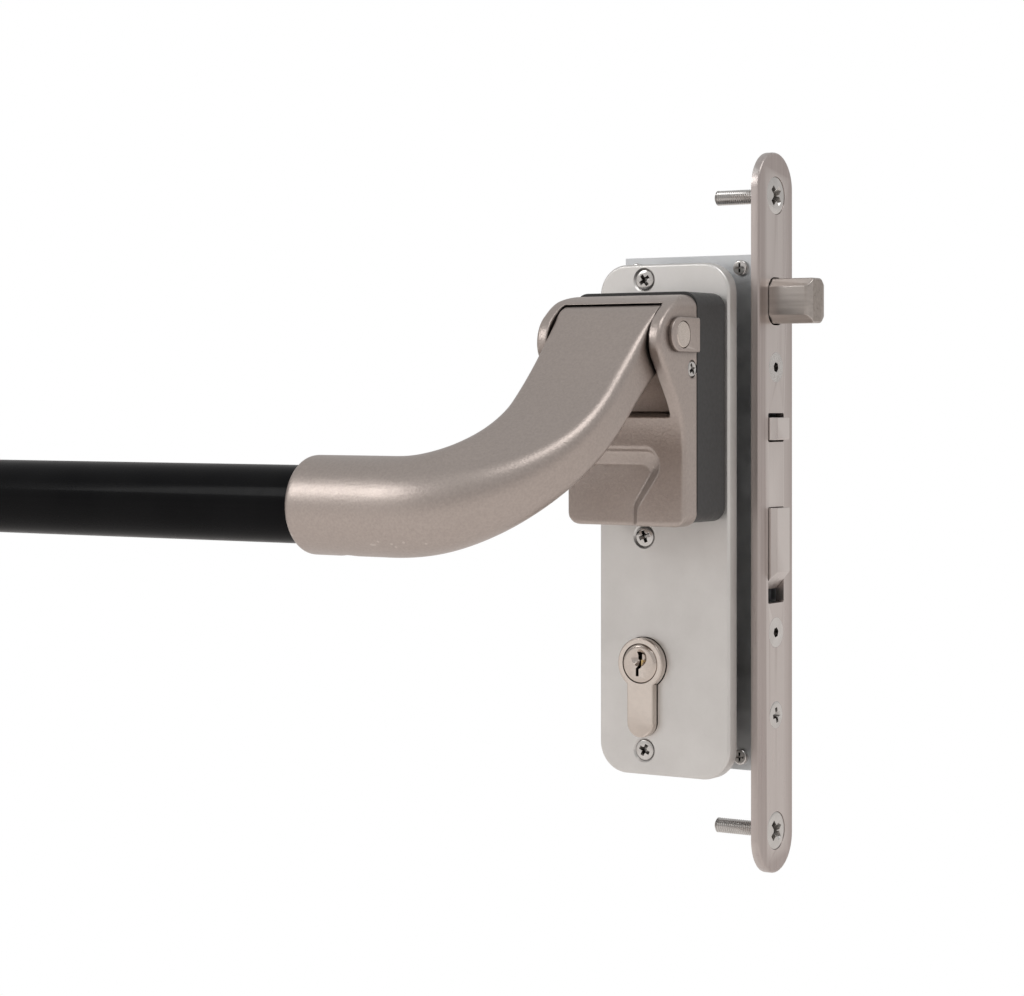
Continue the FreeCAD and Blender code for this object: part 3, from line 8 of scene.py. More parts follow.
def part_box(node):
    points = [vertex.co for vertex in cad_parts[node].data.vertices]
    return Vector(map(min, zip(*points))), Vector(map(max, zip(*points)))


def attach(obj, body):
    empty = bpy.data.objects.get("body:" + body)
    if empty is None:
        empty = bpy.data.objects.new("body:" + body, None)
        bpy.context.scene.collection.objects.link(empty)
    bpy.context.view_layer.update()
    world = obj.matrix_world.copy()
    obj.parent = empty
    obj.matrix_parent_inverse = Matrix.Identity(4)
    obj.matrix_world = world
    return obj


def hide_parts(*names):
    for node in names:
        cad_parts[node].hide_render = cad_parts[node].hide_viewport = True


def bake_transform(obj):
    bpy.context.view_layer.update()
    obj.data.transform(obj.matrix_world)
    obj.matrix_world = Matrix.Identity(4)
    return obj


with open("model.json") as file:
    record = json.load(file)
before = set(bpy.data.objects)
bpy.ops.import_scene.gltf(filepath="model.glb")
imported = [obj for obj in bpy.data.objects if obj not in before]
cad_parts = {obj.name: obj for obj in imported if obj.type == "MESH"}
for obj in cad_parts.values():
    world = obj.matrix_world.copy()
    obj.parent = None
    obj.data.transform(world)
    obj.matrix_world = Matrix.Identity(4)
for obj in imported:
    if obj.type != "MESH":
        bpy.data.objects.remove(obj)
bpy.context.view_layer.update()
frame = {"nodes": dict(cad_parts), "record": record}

# Shapes are worked out in millimetres and written into meshes in metres.
MM = 0.001
X_AXIS = Vector((1, 0, 0))
Z_AXIS = Vector((0, 0, 1))

# Corners closer than this, in metres, are one corner.
WELD = 2e-6


def node_box(node):
    """The corners of a CAD node in millimetres."""
    low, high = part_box(node)
    return low / MM, high / MM


# ---- camera, floor and light ------------------------------------------------------------------

CAMERA_PLACE = (0.4372, -0.7659, 0.0406)
CAMERA_LOOK = (-0.5469, 0.8373, 0.0)
LENS = 93.39
SENSOR_WIDTH = 36
LENS_SHIFT_Y = -0.0987
FLOOR_Z = -0.34
FLOOR_HALF = 60.0
WORLD_WHITE = 1.0
LIGHT_STRENGTH = 0.62
# The light's tone at heights from 0, straight down, to 1, straight up.
SKY = ((0.28, (0.92, 0.87, 0.85, 1)), (0.5, (0.92, 0.89, 0.875, 1)), (0.85, (1.0, 1.0, 1.0, 1)))


def make_camera():
    data = bpy.data.cameras.new("camera")
    data.lens = LENS
    data.sensor_width = SENSOR_WIDTH
    data.shift_y = LENS_SHIFT_Y
    data.clip_start = 0.01
    camera = bpy.data.objects.new("camera", data)
    camera.location = CAMERA_PLACE
    camera.rotation_euler = Vector(CAMERA_LOOK).to_track_quat("-Z", "Y").to_euler()
    bpy.context.scene.collection.objects.link(camera)
    bpy.context.scene.camera = camera


def make_world():
    """A white surround for the eye, and a softer one, lighter above than below, for the light."""
    world = bpy.data.worlds.new("studio")
    bpy.context.scene.world = world
    world.use_nodes = True
    nodes, links = world.node_tree.nodes, world.node_tree.links
    nodes.clear()
    out = nodes.new("ShaderNodeOutputWorld")
    mix = nodes.new("ShaderNodeMixShader")
    seen = nodes.new("ShaderNodeBackground")
    seen.inputs["Color"].default_value = (1, 1, 1, 1)
    seen.inputs["Strength"].default_value = WORLD_WHITE
    lit = nodes.new("ShaderNodeBackground")
    lit.inputs["Strength"].default_value = LIGHT_STRENGTH
    ramp = nodes.new("ShaderNodeValToRGB")
    stops = ramp.color_ramp.elements
    stops[0].position, stops[1].position = SKY[0][0], SKY[2][0]
    stops.new(SKY[1][0])
    for stop, (_, tone) in zip(stops, SKY):
        stop.color = tone
    place = nodes.new("ShaderNodeTexCoord")
    split = nodes.new("ShaderNodeSeparateXYZ")
    half = nodes.new("ShaderNodeMath")
    half.operation = "MULTIPLY_ADD"
    half.inputs[1].default_value = 0.5
    half.inputs[2].default_value = 0.5
    path = nodes.new("ShaderNodeLightPath")
    links.new(place.outputs["Generated"], split.inputs[0])
    links.new(split.outputs["Z"], half.inputs[0])
    links.new(half.outputs[0], ramp.inputs[0])
    links.new(ramp.outputs["Color"], lit.inputs["Color"])
    links.new(path.outputs["Is Camera Ray"], mix.inputs[0])
    links.new(lit.outputs[0], mix.inputs[1])
    links.new(seen.outputs[0], mix.inputs[2])
    links.new(mix.outputs[0], out.inputs[0])


def softbox(name, place, target, size, watts):
    data = bpy.data.lights.new(name, "AREA")
    data.shape = "RECTANGLE"
    data.size, data.size_y = size
    data.energy = watts
    lamp = bpy.data.objects.new(name, data)
    lamp.location = place
    lamp.rotation_euler = (Vector(target) - Vector(place)).to_track_quat("-Z", "Y").to_euler()
    bpy.context.scene.collection.objects.link(lamp)


def make_floor():
    """A pale floor that the camera sees as plain white, and the reflections as a softer white."""
    mesh = bpy.data.meshes.new("floor")
    half = FLOOR_HALF
    corners = [(x, y, FLOOR_Z) for x, y in ((-half, -half), (half, -half), (half, half), (-half, half))]
    mesh.from_pydata(corners, [], [(0, 1, 2, 3)])
    floor = bpy.data.objects.new("floor", mesh)
    bpy.context.scene.collection.objects.link(floor)
    white = bpy.data.materials.new("floor_white")
    white.use_nodes = True
    nodes, links = white.node_tree.nodes, white.node_tree.links
    shader = nodes["Principled BSDF"]
    shader.inputs["Base Color"].default_value = (0.80, 0.77, 0.75, 1)
    shader.inputs["Roughness"].default_value = 0.9
    shader.inputs["Emission Color"].default_value = (1.0, 0.95, 0.92, 1)
    shader.inputs["Emission Strength"].default_value = 0.22
    glow = nodes.new("ShaderNodeEmission")
    glow.inputs["Strength"].default_value = WORLD_WHITE
    mix = nodes.new("ShaderNodeMixShader")
    links.new(nodes.new("ShaderNodeLightPath").outputs["Is Camera Ray"], mix.inputs[0])
    links.new(shader.outputs[0], mix.inputs[1])
    links.new(glow.outputs[0], mix.inputs[2])
    links.new(mix.outputs[0], nodes["Material Output"].inputs["Surface"])
    mesh.materials.append(white)


make_camera()
make_world()
make_floor()
softbox("key", (0.5, -0.45, 1.5), (0, 0, 0), (1.1, 0.7), 6)
softbox("front", (-1.2, -1.6, 0.35), (0, 0, 0), (2.0, 1.6), 1.4)
softbox("left", (-0.9, -1.1, 0.72), (-0.1, 0, 0), (0.5, 0.5), 3.2)
softbox("side", (1.1, 1.5, 0.3), (0, 0, 0), (1.6, 1.8), 0.7)
bpy.context.scene.view_settings.view_transform = "Standard"

# ---- materials --------------------------------------------------------------------------------


class Paint:
    """A Principled material with a few node shorthands."""

    def __init__(self, name, **sockets):
        self.material = bpy.data.materials.new(name)
        self.material.use_nodes = True
        self.nodes = self.material.node_tree.nodes
        self.links = self.material.node_tree.links
        self.shader = self.nodes["Principled BSDF"]
        for socket, value in sockets.items():
            self.shader.inputs[socket.replace("_", " ")].default_value = value
        self.place = self.nodes.new("ShaderNodeTexCoord").outputs["Object"]
        self.normal = None

    def node(self, kind, **sockets):
        node = self.nodes.new(kind)
        for socket, value in sockets.items():
            node.inputs[socket.replace("_", " ")].default_value = value
        return node

    def stretched(self, scale):
        mapping = self.node("ShaderNodeMapping", Scale=scale)
        self.links.new(self.place, mapping.inputs["Vector"])
        return mapping.outputs[0]

    def noise(self, scale, detail=3.0, roughness=0.55, stretch=None):
        node = self.node("ShaderNodeTexNoise", Scale=scale, Detail=detail, Roughness=roughness)
        self.links.new(self.stretched(stretch) if stretch else self.place, node.inputs["Vector"])
        return node.outputs["Fac"]

    def spread(self, value, low, high, source=(0.3, 0.7)):
        node = self.nodes.new("ShaderNodeMapRange")
        node.inputs["From Min"].default_value, node.inputs["From Max"].default_value = source
        node.inputs["To Min"].default_value, node.inputs["To Max"].default_value = low, high
        self.links.new(value, node.inputs["Value"])
        return node.outputs[0]

    def tint(self, value, dark, light, source=(0.3, 0.7)):
        mix = self.nodes.new("ShaderNodeMix")
        mix.data_type = "RGBA"
        self.links.new(self.spread(value, 0.0, 1.0, source), mix.inputs[0])
        mix.inputs[6].default_value = (*dark, 1)
        mix.inputs[7].default_value = (*light, 1)
        return mix.outputs[2]

    def painted_shade(self, colour, reach, share):
        """Painted shade: the colour, darkened by up to the share in recesses as wide as the reach."""
        node = self.node("ShaderNodeAmbientOcclusion", Distance=reach)
        node.samples = 8
        mix = self.nodes.new("ShaderNodeMix")
        mix.data_type = "RGBA"
        mix.blend_type = "MULTIPLY"
        mix.inputs[0].default_value = 1.0
        tone = self.spread(node.outputs["AO"], 1.0 - share, 1.0, (0.35, 0.95))
        self.links.new(colour, mix.inputs[6])
        self.links.new(tone, mix.inputs[7])
        return mix.outputs[2]

    def edges(self, low=0.505, high=0.56):
        """1 along convex edges, 0 elsewhere."""
        geometry = self.nodes.new("ShaderNodeNewGeometry")
        return self.spread(geometry.outputs["Pointiness"], 0.0, 1.0, (low, high))

    # Edge wear and painted highlight: the colour lightened towards the bright one along convex edges.
    def edge_wear_and_highlight(self, colour, bright, amount=0.6, low=0.505, high=0.56):
        mix = self.nodes.new("ShaderNodeMix")
        mix.data_type = "RGBA"
        share = self.nodes.new("ShaderNodeMath")
        share.operation = "MULTIPLY"
        share.inputs[1].default_value = amount
        self.links.new(self.edges(low, high), share.inputs[0])
        self.links.new(share.outputs[0], mix.inputs[0])
        self.links.new(colour, mix.inputs[6])
        mix.inputs[7].default_value = (*bright, 1)
        return mix.outputs[2]

    def bump(self, height, distance):
        node = self.node("ShaderNodeBump", Strength=1.0, Distance=distance)
        self.links.new(height, node.inputs["Height"])
        if self.normal is not None:
            self.links.new(self.normal, node.inputs["Normal"])
        self.normal = node.outputs[0]

    def feed(self, socket, value):
        self.links.new(value, self.shader.inputs[socket])

    def done(self):
        if self.normal is not None:
            self.feed("Normal", self.normal)
        return self.material


def cast_nickel():
    """Blasted and nickelled casting: fine sand grain, soft clouding, painted shade in its recesses, and
    edges brighter from wear and painted highlight.
    """
    p = Paint("cast_nickel", Metallic=1.0)
    grain = p.noise(1250, 2, 0.6)
    base = p.tint(grain, (0.405, 0.351, 0.321), (0.465, 0.404, 0.370))
    # Painted shade in the recesses, then convex edges lightened as wear and painted highlight.
    base = p.edge_wear_and_highlight(p.painted_shade(base, 0.012, 0.55), (0.66, 0.605, 0.56), 0.5, 0.53, 0.62)
    p.feed("Base Color", base)
    p.feed("Roughness", p.spread(p.noise(28, 3), 0.32, 0.42))
    p.bump(grain, 0.00008)
    return p.done()


def satin_aluminium():
    p = Paint("satin_aluminium", Metallic=1.0)
    p.feed("Base Color", p.tint(p.noise(60, 2), (0.64, 0.622, 0.602), (0.69, 0.672, 0.652)))
    p.feed("Roughness", p.spread(p.noise(900, 3), 0.36, 0.46))
    p.bump(p.noise(4200, 2), 0.00001)
    return p.done()


def black_paint():
    p = Paint("black_paint", Specular_IOR_Level=0.25)
    base = p.tint(p.noise(50, 3), (0.015, 0.013, 0.013), (0.021, 0.019, 0.019))
    # Edges lightened as wear and painted highlight.
    p.feed("Base Color", p.edge_wear_and_highlight(base, (0.09, 0.09, 0.09), 0.4))
    p.feed("Roughness", p.spread(p.noise(700, 3), 0.40, 0.52))
    p.bump(p.noise(1300, 2), 0.00003)
    return p.done()


def gloss_black():
    p = Paint("gloss_black", Coat_Weight=0.05, Coat_Roughness=0.1, Specular_IOR_Level=0.03)
    p.feed("Base Color", p.tint(p.noise(40, 2), (0.0035, 0.0035, 0.004), (0.006, 0.006, 0.0065)))
    p.feed("Roughness", p.spread(p.noise(260, 3), 0.20, 0.28))
    p.bump(p.noise(900, 2), 0.000008)
    return p.done()


def linished(name, stretch, dark, light):
    """Steel ground along the stretched axis."""
    p = Paint(name, Metallic=1.0)
    grain = p.noise(700, 4, 0.6, stretch)
    # Edges lightened as wear and painted highlight.
    p.feed("Base Color", p.edge_wear_and_highlight(p.tint(grain, dark, light), (0.8, 0.76, 0.73), 0.6))
    p.feed("Roughness", p.spread(grain, 0.26, 0.42))
    p.bump(grain, 0.00003)
    p.bump(p.noise(240, 2), 0.00003)
    return p.done()


def brushed_stainless():
    return linished("brushed_stainless", (1.0, 1.0, 0.03), (0.38, 0.325, 0.308), (0.46, 0.405, 0.383))


def bolt_steel():
    return linished("bolt_steel", (0.03, 1.0, 1.0), (0.27, 0.235, 0.21), (0.40, 0.355, 0.32))


def zinc_steel():
    p = Paint("zinc_steel", Metallic=1.0)
    p.feed("Base Color", p.tint(p.noise(60, 3), (0.56, 0.575, 0.59), (0.64, 0.65, 0.66)))
    p.feed("Roughness", p.spread(p.noise(240, 3), 0.30, 0.42))
    p.bump(p.noise(900, 2), 0.00001)
    return p.done()


def bright_steel():
    p = Paint("bright_steel", Metallic=1.0)
    base = p.tint(p.noise(200, 2), (0.55, 0.53, 0.51), (0.64, 0.62, 0.60))
    # Painted shade darkens the recesses, such as the screws' cross recesses.
    p.feed("Base Color", p.painted_shade(base, 0.002, 0.5))
    p.feed("Roughness", p.spread(p.noise(800, 2), 0.10, 0.20))
    p.bump(p.noise(1800, 2), 0.00001)
    return p.done()


def spring_steel():
    p = Paint("spring_steel", Metallic=1.0)
    p.feed("Base Color", p.tint(p.noise(300, 2), (0.30, 0.30, 0.31), (0.42, 0.42, 0.43)))
    p.feed("Roughness", p.spread(p.noise(900, 2), 0.22, 0.34))
    return p.done()


def nickel():
    p = Paint("nickel", Metallic=1.0)
    base = p.tint(p.noise(70, 3), (0.54, 0.475, 0.425), (0.60, 0.53, 0.475))
    # Edges lightened as wear and painted highlight.
    p.feed("Base Color", p.edge_wear_and_highlight(base, (0.80, 0.73, 0.67), 0.5))
    p.feed("Roughness", p.spread(p.noise(600, 3), 0.16, 0.26))
    p.bump(p.noise(1500, 2), 0.00001)
    return p.done()


def brass():
    p = Paint("brass", Metallic=1.0)
    p.feed("Base Color", p.tint(p.noise(120, 3), (0.66, 0.47, 0.20), (0.78, 0.58, 0.28)))
    p.feed("Roughness", p.spread(p.noise(500, 2), 0.22, 0.34))
    return p.done()


PAINTS = {make.__name__: make() for make in (
    cast_nickel, satin_aluminium, black_paint, gloss_black, brushed_stainless, zinc_steel, bright_steel,
    spring_steel, nickel, brass, bolt_steel)}
SLOT_OF_NODE = {s["node"]: s["material_slot"] for s in frame["record"]["subparts"]}
BODY_OF_NODE = {n: body for body, members in frame["record"]["behaviour"]["bodies"].items() for n in members}


def paint(obj, slot):
    obj.data.materials.clear()
    obj.data.materials.append(PAINTS[slot])


def paint_cad_nodes():
    for name, obj in frame["nodes"].items():
        paint(obj, SLOT_OF_NODE[name])


# ---- pieces that stand for CAD nodes ------------------------------------------------------------


def mesh_from(edit, name):
    """The edited corners and faces as a new mesh."""
    mesh = bpy.data.meshes.new(name)
    edit.to_mesh(mesh)
    edit.free()
    return mesh


def new_piece(name, mesh):
    piece = bpy.data.objects.new(name, mesh)
    bpy.context.scene.collection.objects.link(piece)
    return piece


def welded_copy(node, name, flat_angle=None):
    """The node's mesh as a new piece with its faces joined up, and flat areas made single faces."""
    edit = bmesh.new()
    edit.from_mesh(frame["nodes"][node].data)
    bmesh.ops.remove_doubles(edit, verts=edit.verts, dist=WELD)
    if flat_angle:
        limit = math.radians(flat_angle)
        bmesh.ops.dissolve_limit(edit, angle_limit=limit, verts=edit.verts, edges=edit.edges)
    return new_piece(name, mesh_from(edit, name))


def apply_modifiers(piece):
    graph = bpy.context.evaluated_depsgraph_get()
    graph.update()
    finished = bpy.data.meshes.new_from_object(piece.evaluated_get(graph))
    piece.modifiers.clear()
    piece.data = finished


def level_normals(piece, sharp=32):
    """Smooth shading that keeps the flat faces flat."""
    piece.data.shade_smooth()
    piece.data.set_sharp_from_angle(angle=math.radians(sharp))
    level = piece.modifiers.new("level", "WEIGHTED_NORMAL")
    level.keep_sharp = True
    level.weight = 100
    apply_modifiers(piece)


def break_edges(piece, width, sharp):
    """A small bevel, its width in millimetres, on every edge sharper than the angle."""
    bevel = piece.modifiers.new("edges", "BEVEL")
    bevel.width = width * MM
    bevel.segments = 2
    bevel.limit_method = "ANGLE"
    bevel.angle_limit = math.radians(sharp)
    apply_modifiers(piece)


def take_place(piece, node):
    """The piece takes the node's place and finish."""
    paint(piece, SLOT_OF_NODE[node])
    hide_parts(node)


def stand_for(piece, node):
    """The piece takes the node's place, finish and body."""
    take_place(piece, node)
    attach(piece, BODY_OF_NODE[node])
    return piece


# Corners of a casting's skin that are closer than this share of its grid are joined.
SKIN_WELD = 0.2


def casting(node, name, voxel=0.4, passes=8):
    """A cast copy of a node: every edge slightly rounded, as metal from a mould is."""
    piece = welded_copy(node, name)
    remesh = piece.modifiers.new("skin", "REMESH")
    remesh.mode = "VOXEL"
    remesh.voxel_size = voxel * MM
    smooth = piece.modifiers.new("soften", "SMOOTH")
    smooth.factor = 0.5
    smooth.iterations = passes
    apply_modifiers(piece)
    edit = bmesh.new()
    edit.from_mesh(piece.data)
    bmesh.ops.remove_doubles(edit, verts=edit.verts, dist=voxel * MM * SKIN_WELD)
    edit.to_mesh(piece.data)
    edit.free()
    piece.data.shade_smooth()
    return stand_for(piece, node)


def machined(node, name, edge=0.25, flat_angle=1.0, sharp=38):
    """A machined or pressed copy of a node: its sharp edges broken by a small bevel."""
    piece = welded_copy(node, name, flat_angle)
    break_edges(piece, edge, sharp)
    level_normals(piece)
    return stand_for(piece, node)


def lathe(name, profile, start, axis, steps=96):
    """A solid of revolution: profile holds (radius, distance along the axis) and closes on itself."""
    turn = Z_AXIS.rotation_difference(Vector(axis)).to_matrix()
    points, faces = [], []
    for k in range(steps):
        a = 2 * math.pi * k / steps
        for radius, along in profile:
            place = Vector(start) + turn @ Vector((radius * math.cos(a), radius * math.sin(a), along))
            points.append(place * MM)
    count = len(profile)
    for k in range(steps):
        here, there = k * count, (k + 1) % steps * count
        for i in range(count):
            j = (i + 1) % count
            faces.append((here + i, here + j, there + j, there + i))
    mesh = bpy.data.meshes.new(name)
    mesh.from_pydata(points, [], faces)
    edit = bmesh.new()
    edit.from_mesh(mesh)
    bmesh.ops.remove_doubles(edit, verts=edit.verts, dist=WELD)
    bmesh.ops.recalc_face_normals(edit, faces=edit.faces)
    edit.to_mesh(mesh)
    edit.free()
    mesh.shade_smooth()
    mesh.set_sharp_from_angle(angle=math.radians(32))
    return new_piece(name, mesh)


BAR_WALL = 1.8
BAR_EDGE = 0.3


def push_bar_tube():
    low, high = node_box("crossbar_tube")
    radius = (high.z - low.z) / 2
    length = high.x - low.x
    inner = radius - BAR_WALL
    profile = [(inner, 0), (radius - BAR_EDGE, 0), (radius, BAR_EDGE), (radius, length - BAR_EDGE),
               (radius - BAR_EDGE, length), (inner, length)]
    start = (low.x, (low.y + high.y) / 2, (low.z + high.z) / 2)
    stand_for(lathe("push_bar_tube", profile, start, X_AXIS, 128), "crossbar_tube")


def shells(node):
    """The corners in millimetres of each separate solid of a node."""
    mesh = bmesh.new()
    mesh.from_mesh(frame["nodes"][node].data)
    bmesh.ops.remove_doubles(mesh, verts=mesh.verts, dist=WELD)
    left, boxes = set(mesh.verts), []
    for seed in mesh.verts:
        if seed not in left:
            continue
        left.discard(seed)
        queue, points = [seed], []
        while queue:
            vert = queue.pop()
            points.append(vert.co / MM)
            for edge in vert.link_edges:
                other = edge.other_vert(vert)
                if other in left:
                    left.discard(other)
                    queue.append(other)
        low = Vector([min(p[i] for p in points) for i in range(3)])
        high = Vector([max(p[i] for p in points) for i in range(3)])
        boxes.append((low, high))
    mesh.free()
    return boxes


THREAD_PITCH = 0.8
THREAD_DEPTH = 0.35
THREAD_ROWS = 7


def turned_mesh(name, outline, thread, steps=48):
    """A turned screw along +Z: outline holds (radius, height) from tip to crown, thread its (low, high)."""
    rows = []
    for (r0, z0), (r1, z1) in zip(outline, outline[1:]):
        parts = 1
        if abs(r1 - r0) < 0.01 and z0 < thread[1] and z1 > thread[0]:
            parts = max(1, int((z1 - z0) / THREAD_PITCH * THREAD_ROWS))
        rows += [(r0 + (r1 - r0) * k / parts, z0 + (z1 - z0) * k / parts) for k in range(parts)]
    rows.append(outline[-1])
    edit = bmesh.new()
    rings = []
    for radius, z in rows:
        cut = THREAD_DEPTH if thread[0] < z < thread[1] else 0
        ring = []
        for k in range(steps):
            wave = (z / THREAD_PITCH - k / steps) % 1
            r = radius - cut * abs(2 * wave - 1)
            a = 2 * math.pi * k / steps
            ring.append(edit.verts.new((r * math.cos(a) * MM, r * math.sin(a) * MM, z * MM)))
        rings.append(ring)
    for low, high in zip(rings, rings[1:]):
        for k in range(steps):
            j = (k + 1) % steps
            edit.faces.new((low[k], low[j], high[j], high[k]))
    edit.faces.new(rings[0][::-1])
    edit.faces.new(rings[-1])
    return mesh_from(edit, name)


def frustum(name, top, bottom):
    """A closed cutter between two outlines of (x, y) points, each with its height."""
    edit = bmesh.new()
    rings = [[edit.verts.new((x * MM, y * MM, z * MM)) for x, y in points] for points, z in (bottom, top)]
    count = len(rings[0])
    for k in range(count):
        j = (k + 1) % count
        edit.faces.new((rings[0][k], rings[0][j], rings[1][j], rings[1][k]))
    edit.faces.new(rings[0][::-1])
    edit.faces.new(rings[1])
    bmesh.ops.recalc_face_normals(edit, faces=edit.faces)
    return new_piece(name, mesh_from(edit, name))


def cross_outline(reach, half):
    return [(reach, -half), (reach, half), (half, half), (half, reach), (-half, reach), (-half, half),
            (-reach, half), (-reach, -half), (-half, -half), (-half, -reach), (half, -reach), (half, -half)]


def hexagon_outline(across):
    r = across / math.sqrt(3)
    return [(r * math.cos(math.pi * k / 3), r * math.sin(math.pi * k / 3)) for k in range(6)]


def carve(piece, cutter):
    cut = piece.modifiers.new("cut", "BOOLEAN")
    cut.operation = "DIFFERENCE"
    cut.solver = "EXACT"
    cut.object = cutter
    apply_modifiers(piece)
    bpy.data.objects.remove(cutter)


# The straight rim under a countersunk head, the broken corner on it, and the point's length.
HEAD_RIM = 0.3
RIM_BREAK = 0.06
POINT_LENGTH = 0.7
POINT_SHARE = 0.6
SCREW_EDGE = 0.05
# A cutter starts this far above the face that it cuts.
CUT_LIFT = 0.2


def screw_mesh(name, head_r, dome, shank_r, length, recess, turn):
    """A countersunk screw along +Z with its rim at Z = 0: recess is (kind, reach, depth)."""
    crown = [(head_r, 0)]
    if dome:
        angles = [math.pi / 2 * k / 10 for k in range(1, 10)]
        crown += [(head_r * math.cos(a), dome * math.sin(a)) for a in angles]
    cone = head_r - shank_r
    outline = [(shank_r * POINT_SHARE, -length), (shank_r, -length + POINT_LENGTH),
               (shank_r, -HEAD_RIM - cone), (head_r, -HEAD_RIM), (head_r, -RIM_BREAK)]
    outline += [(max(r, 0.3), z) for r, z in crown]
    thread = (-length + POINT_LENGTH, -HEAD_RIM - cone - 0.4)
    piece = new_piece(name, turned_mesh(name, outline, thread))
    kind, reach, depth = recess
    lift = dome + CUT_LIFT
    if kind == "cross":
        top = (cross_outline(reach, reach * 0.30), lift)
        bottom = (cross_outline(reach * 0.42, reach * 0.16), dome - depth)
    else:
        top = (hexagon_outline(reach), lift)
        bottom = (hexagon_outline(reach), dome - depth)
    cutter = frustum(name + "_cutter", top, bottom)
    cutter.data.transform(Matrix.Rotation(math.radians(turn), 4, "Z"))
    carve(piece, cutter)
    if kind == "cross":
        hollow = new_piece(name + "_hollow", turned_mesh(name, [
            (0.02, dome - depth * 0.75), (reach * 0.36, dome - depth * 0.3), (reach * 0.56, lift)], (0, 0)))
        carve(piece, hollow)
    break_edges(piece, SCREW_EDGE, 40)
    mesh = piece.data
    bpy.data.objects.remove(piece)
    return mesh


def add_placed(edit, mesh, place, outward):
    """Adds a screw's mesh with its head at the place, in millimetres, and facing outward."""
    mesh.transform(Matrix.Translation(place * MM) @ Z_AXIS.rotation_difference(outward).to_matrix().to_4x4())
    edit.from_mesh(mesh)


def finish_screws(edit, node, name):
    piece = new_piece(name, mesh_from(edit, name))
    level_normals(piece, 30)
    return stand_for(piece, node)


SIDE_SCREW_R = 2.75
SIDE_SCREW_REACH = 2.0
SIDE_SCREW_DEPTH = 1.4
SIDE_SCREW_TURN = 30
SIDE_SCREW_POINT = 1.2
SIDE_SCREW_CHAMFER = 0.5


def side_screws(node, name):
    """The two headless screws in the sides of a housing, threaded to their faces."""
    edit = bmesh.new()
    boxes = sorted(shells(node), key=lambda b: b[0].x)
    for (low, high), outward in zip(boxes, (-X_AXIS, X_AXIS)):
        face = (low + high) / 2
        face.x = low.x if outward.x < 0 else high.x
        add_placed(edit, side_screw_mesh(name + "_part", high.x - low.x), face, outward)
    return finish_screws(edit, node, name)


def side_screw_mesh(name, length):
    """A headless screw along +Z with its face at Z = 0 and a conical point."""
    radius, point, chamfer = SIDE_SCREW_R, SIDE_SCREW_POINT, SIDE_SCREW_CHAMFER
    reach = SIDE_SCREW_REACH
    outline = [(radius - point, -length), (radius, -length + point),
               (radius, -chamfer), (radius - chamfer, 0)]
    piece = new_piece(name, turned_mesh(name, outline, (-length + point, -chamfer - 0.3)))
    cutter = frustum(name + "_cutter", (cross_outline(reach, reach * 0.3), CUT_LIFT),
                     (cross_outline(reach * 0.5, reach * 0.18), -SIDE_SCREW_DEPTH))
    cutter.data.transform(Matrix.Rotation(math.radians(SIDE_SCREW_TURN), 4, "Z"))
    carve(piece, cutter)
    mesh = piece.data
    bpy.data.objects.remove(piece)
    return mesh


def screws(node, name, axis, head_r, dome, shank_r, recess, turns):
    """Every screw of a node, each placed on its CAD solid, as one piece."""
    axis = Vector(axis)
    along = max(range(3), key=lambda i: abs(axis[i]))
    edit = bmesh.new()
    for (low, high), turn in zip(sorted(shells(node), key=lambda b: -b[0].z), turns):
        rim = (low + high) / 2
        crown = high[along] if axis[along] > 0 else low[along]
        rim[along] = crown - axis[along] * dome
        length = high[along] - low[along] - dome
        mesh = screw_mesh(name + "_part", head_r, dome, shank_r, length, recess, turn)
        add_placed(edit, mesh, rim, axis)
    return finish_screws(edit, node, name)


# The pin's centre from the plug's centre and face, its radius and its length.
PLUG_PROUD = 0.6
PIN_PLACE = (0.4, 1.0, 1.2)
PIN_R = 0.42
PIN_LENGTH = 2.6


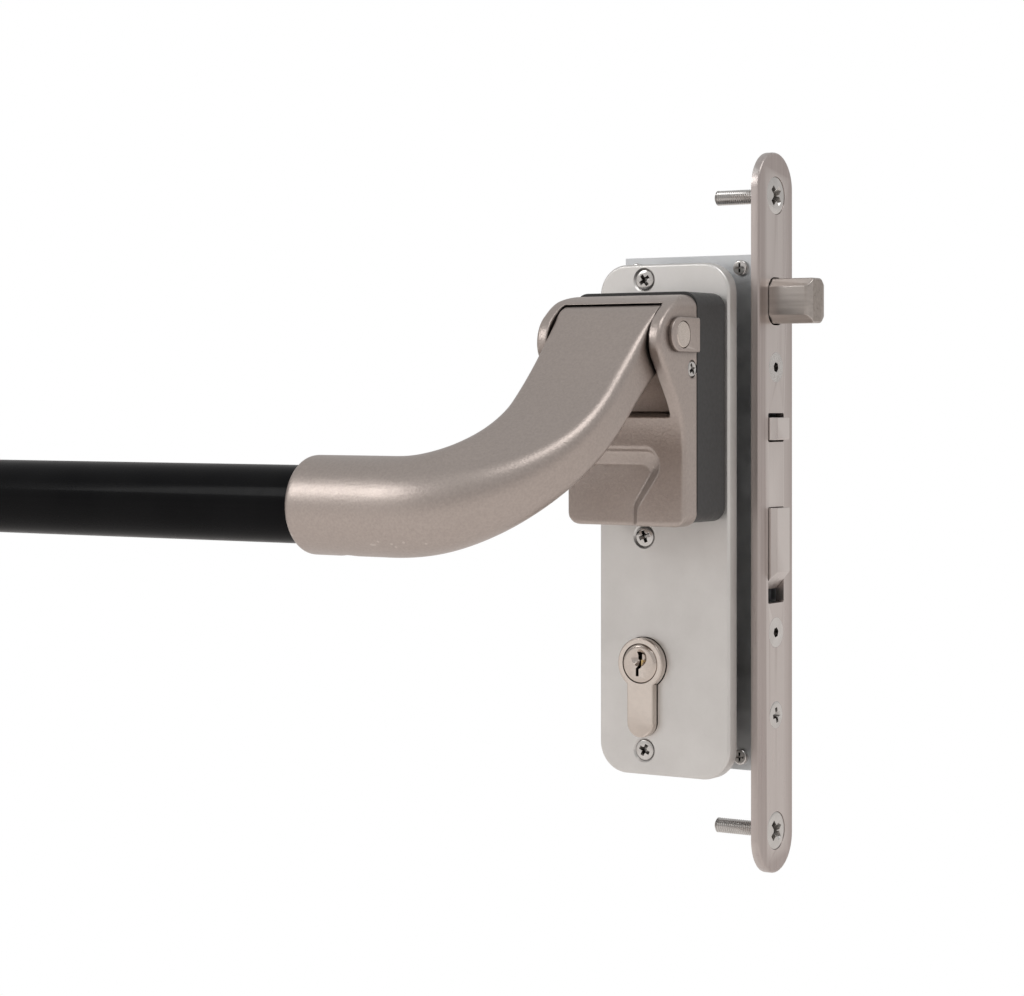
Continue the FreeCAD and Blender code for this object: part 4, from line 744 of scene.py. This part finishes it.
def keyway_pin(node, name):
    """The brass tip of the first pin tumbler, standing in the keyway behind the mouth."""
    low, high = node_box(node)
    dx, back, up = PIN_PLACE
    centre = (low + high) / 2
    start = (centre.x + dx, low.y + PLUG_PROUD + back, centre.z + up)
    profile = [(0, 0), (PIN_R, 0), (PIN_R, PIN_LENGTH - 0.4), (0.05, PIN_LENGTH)]
    pin = lathe(name, profile, start, -Z_AXIS, 24)
    paint(pin, "brass")
    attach(pin, BODY_OF_NODE[node])


def moving_spring(node, name):
    """A coil copied from the node, smooth shaded, in the node's place and finish, with its placement baked
    into the mesh.
    """
    piece = welded_copy(node, name)
    piece.data.shade_smooth()
    take_place(piece, node)
    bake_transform(piece)


paint_cad_nodes()
push_bar_tube()
moving_spring("latch_spring", "latch_coil")
moving_spring("aux_latch_spring", "aux_latch_coil")
moving_spring("slider_spring", "slider_coil")
moving_spring("return_spring_lock_side", "return_coil_lock_side")
moving_spring("return_spring_hinge_side", "return_coil_hinge_side")
for node, name, turns in (
        ("lock_plate_screws", "plate_screws_lock", (35, 20, 62)),
        ("hinge_plate_screws", "plate_screws_hinge", (12, 50))):
    screws(node, name, (0, -1, 0), 3.35, 0.35, 2.0, ("cross", 2.2, 1.8), turns)
screws("forend_screws", "forend_fixings", (1, 0, 0), 6.3, 0.5, 2.5, ("cross", 3.9, 3.0), (45, 40))
screws("cylinder_fixing_screw", "cylinder_fixing", (1, 0, 0), 4.5, 0.3, 2.5, ("cross", 2.7, 2.2), (10,))
screws("forend_case_screws", "case_fixings", (1, 0, 0), 5.0, 0.0, 2.5, ("hexagon", 3.0, 2.4), (15, 40))
keyway_pin("cylinder_front_plug", "front_keyway_pin")
for side in ("lock_side", "hinge_side"):
    side_screws("housing_side_screws_" + side, "side_grub_screws_" + side)
    casting("arm_" + side, "arm_casting_" + side)
    casting("housing_" + side, "housing_casting_" + side, 0.35, 6)
    machined("pin_caps_" + side, "pin_cap_plates_" + side, 0.1)
    machined("pivot_pin_" + side, "hinge_pin_" + side, 0.1)
for node, name, edge in (
        ("forend", "forend_plate", 0.2), ("latch_bolt", "latch_head", 0.3),
        ("aux_latch", "aux_latch_head", 0.3), ("lock_case", "case_tray", 0.3),
        ("lock_case_cover", "case_cover_plate", 0.2)):
    machined(node, name, edge)

paint(machined("deadbolt", "bolt_bar", 0.25), "bolt_steel")
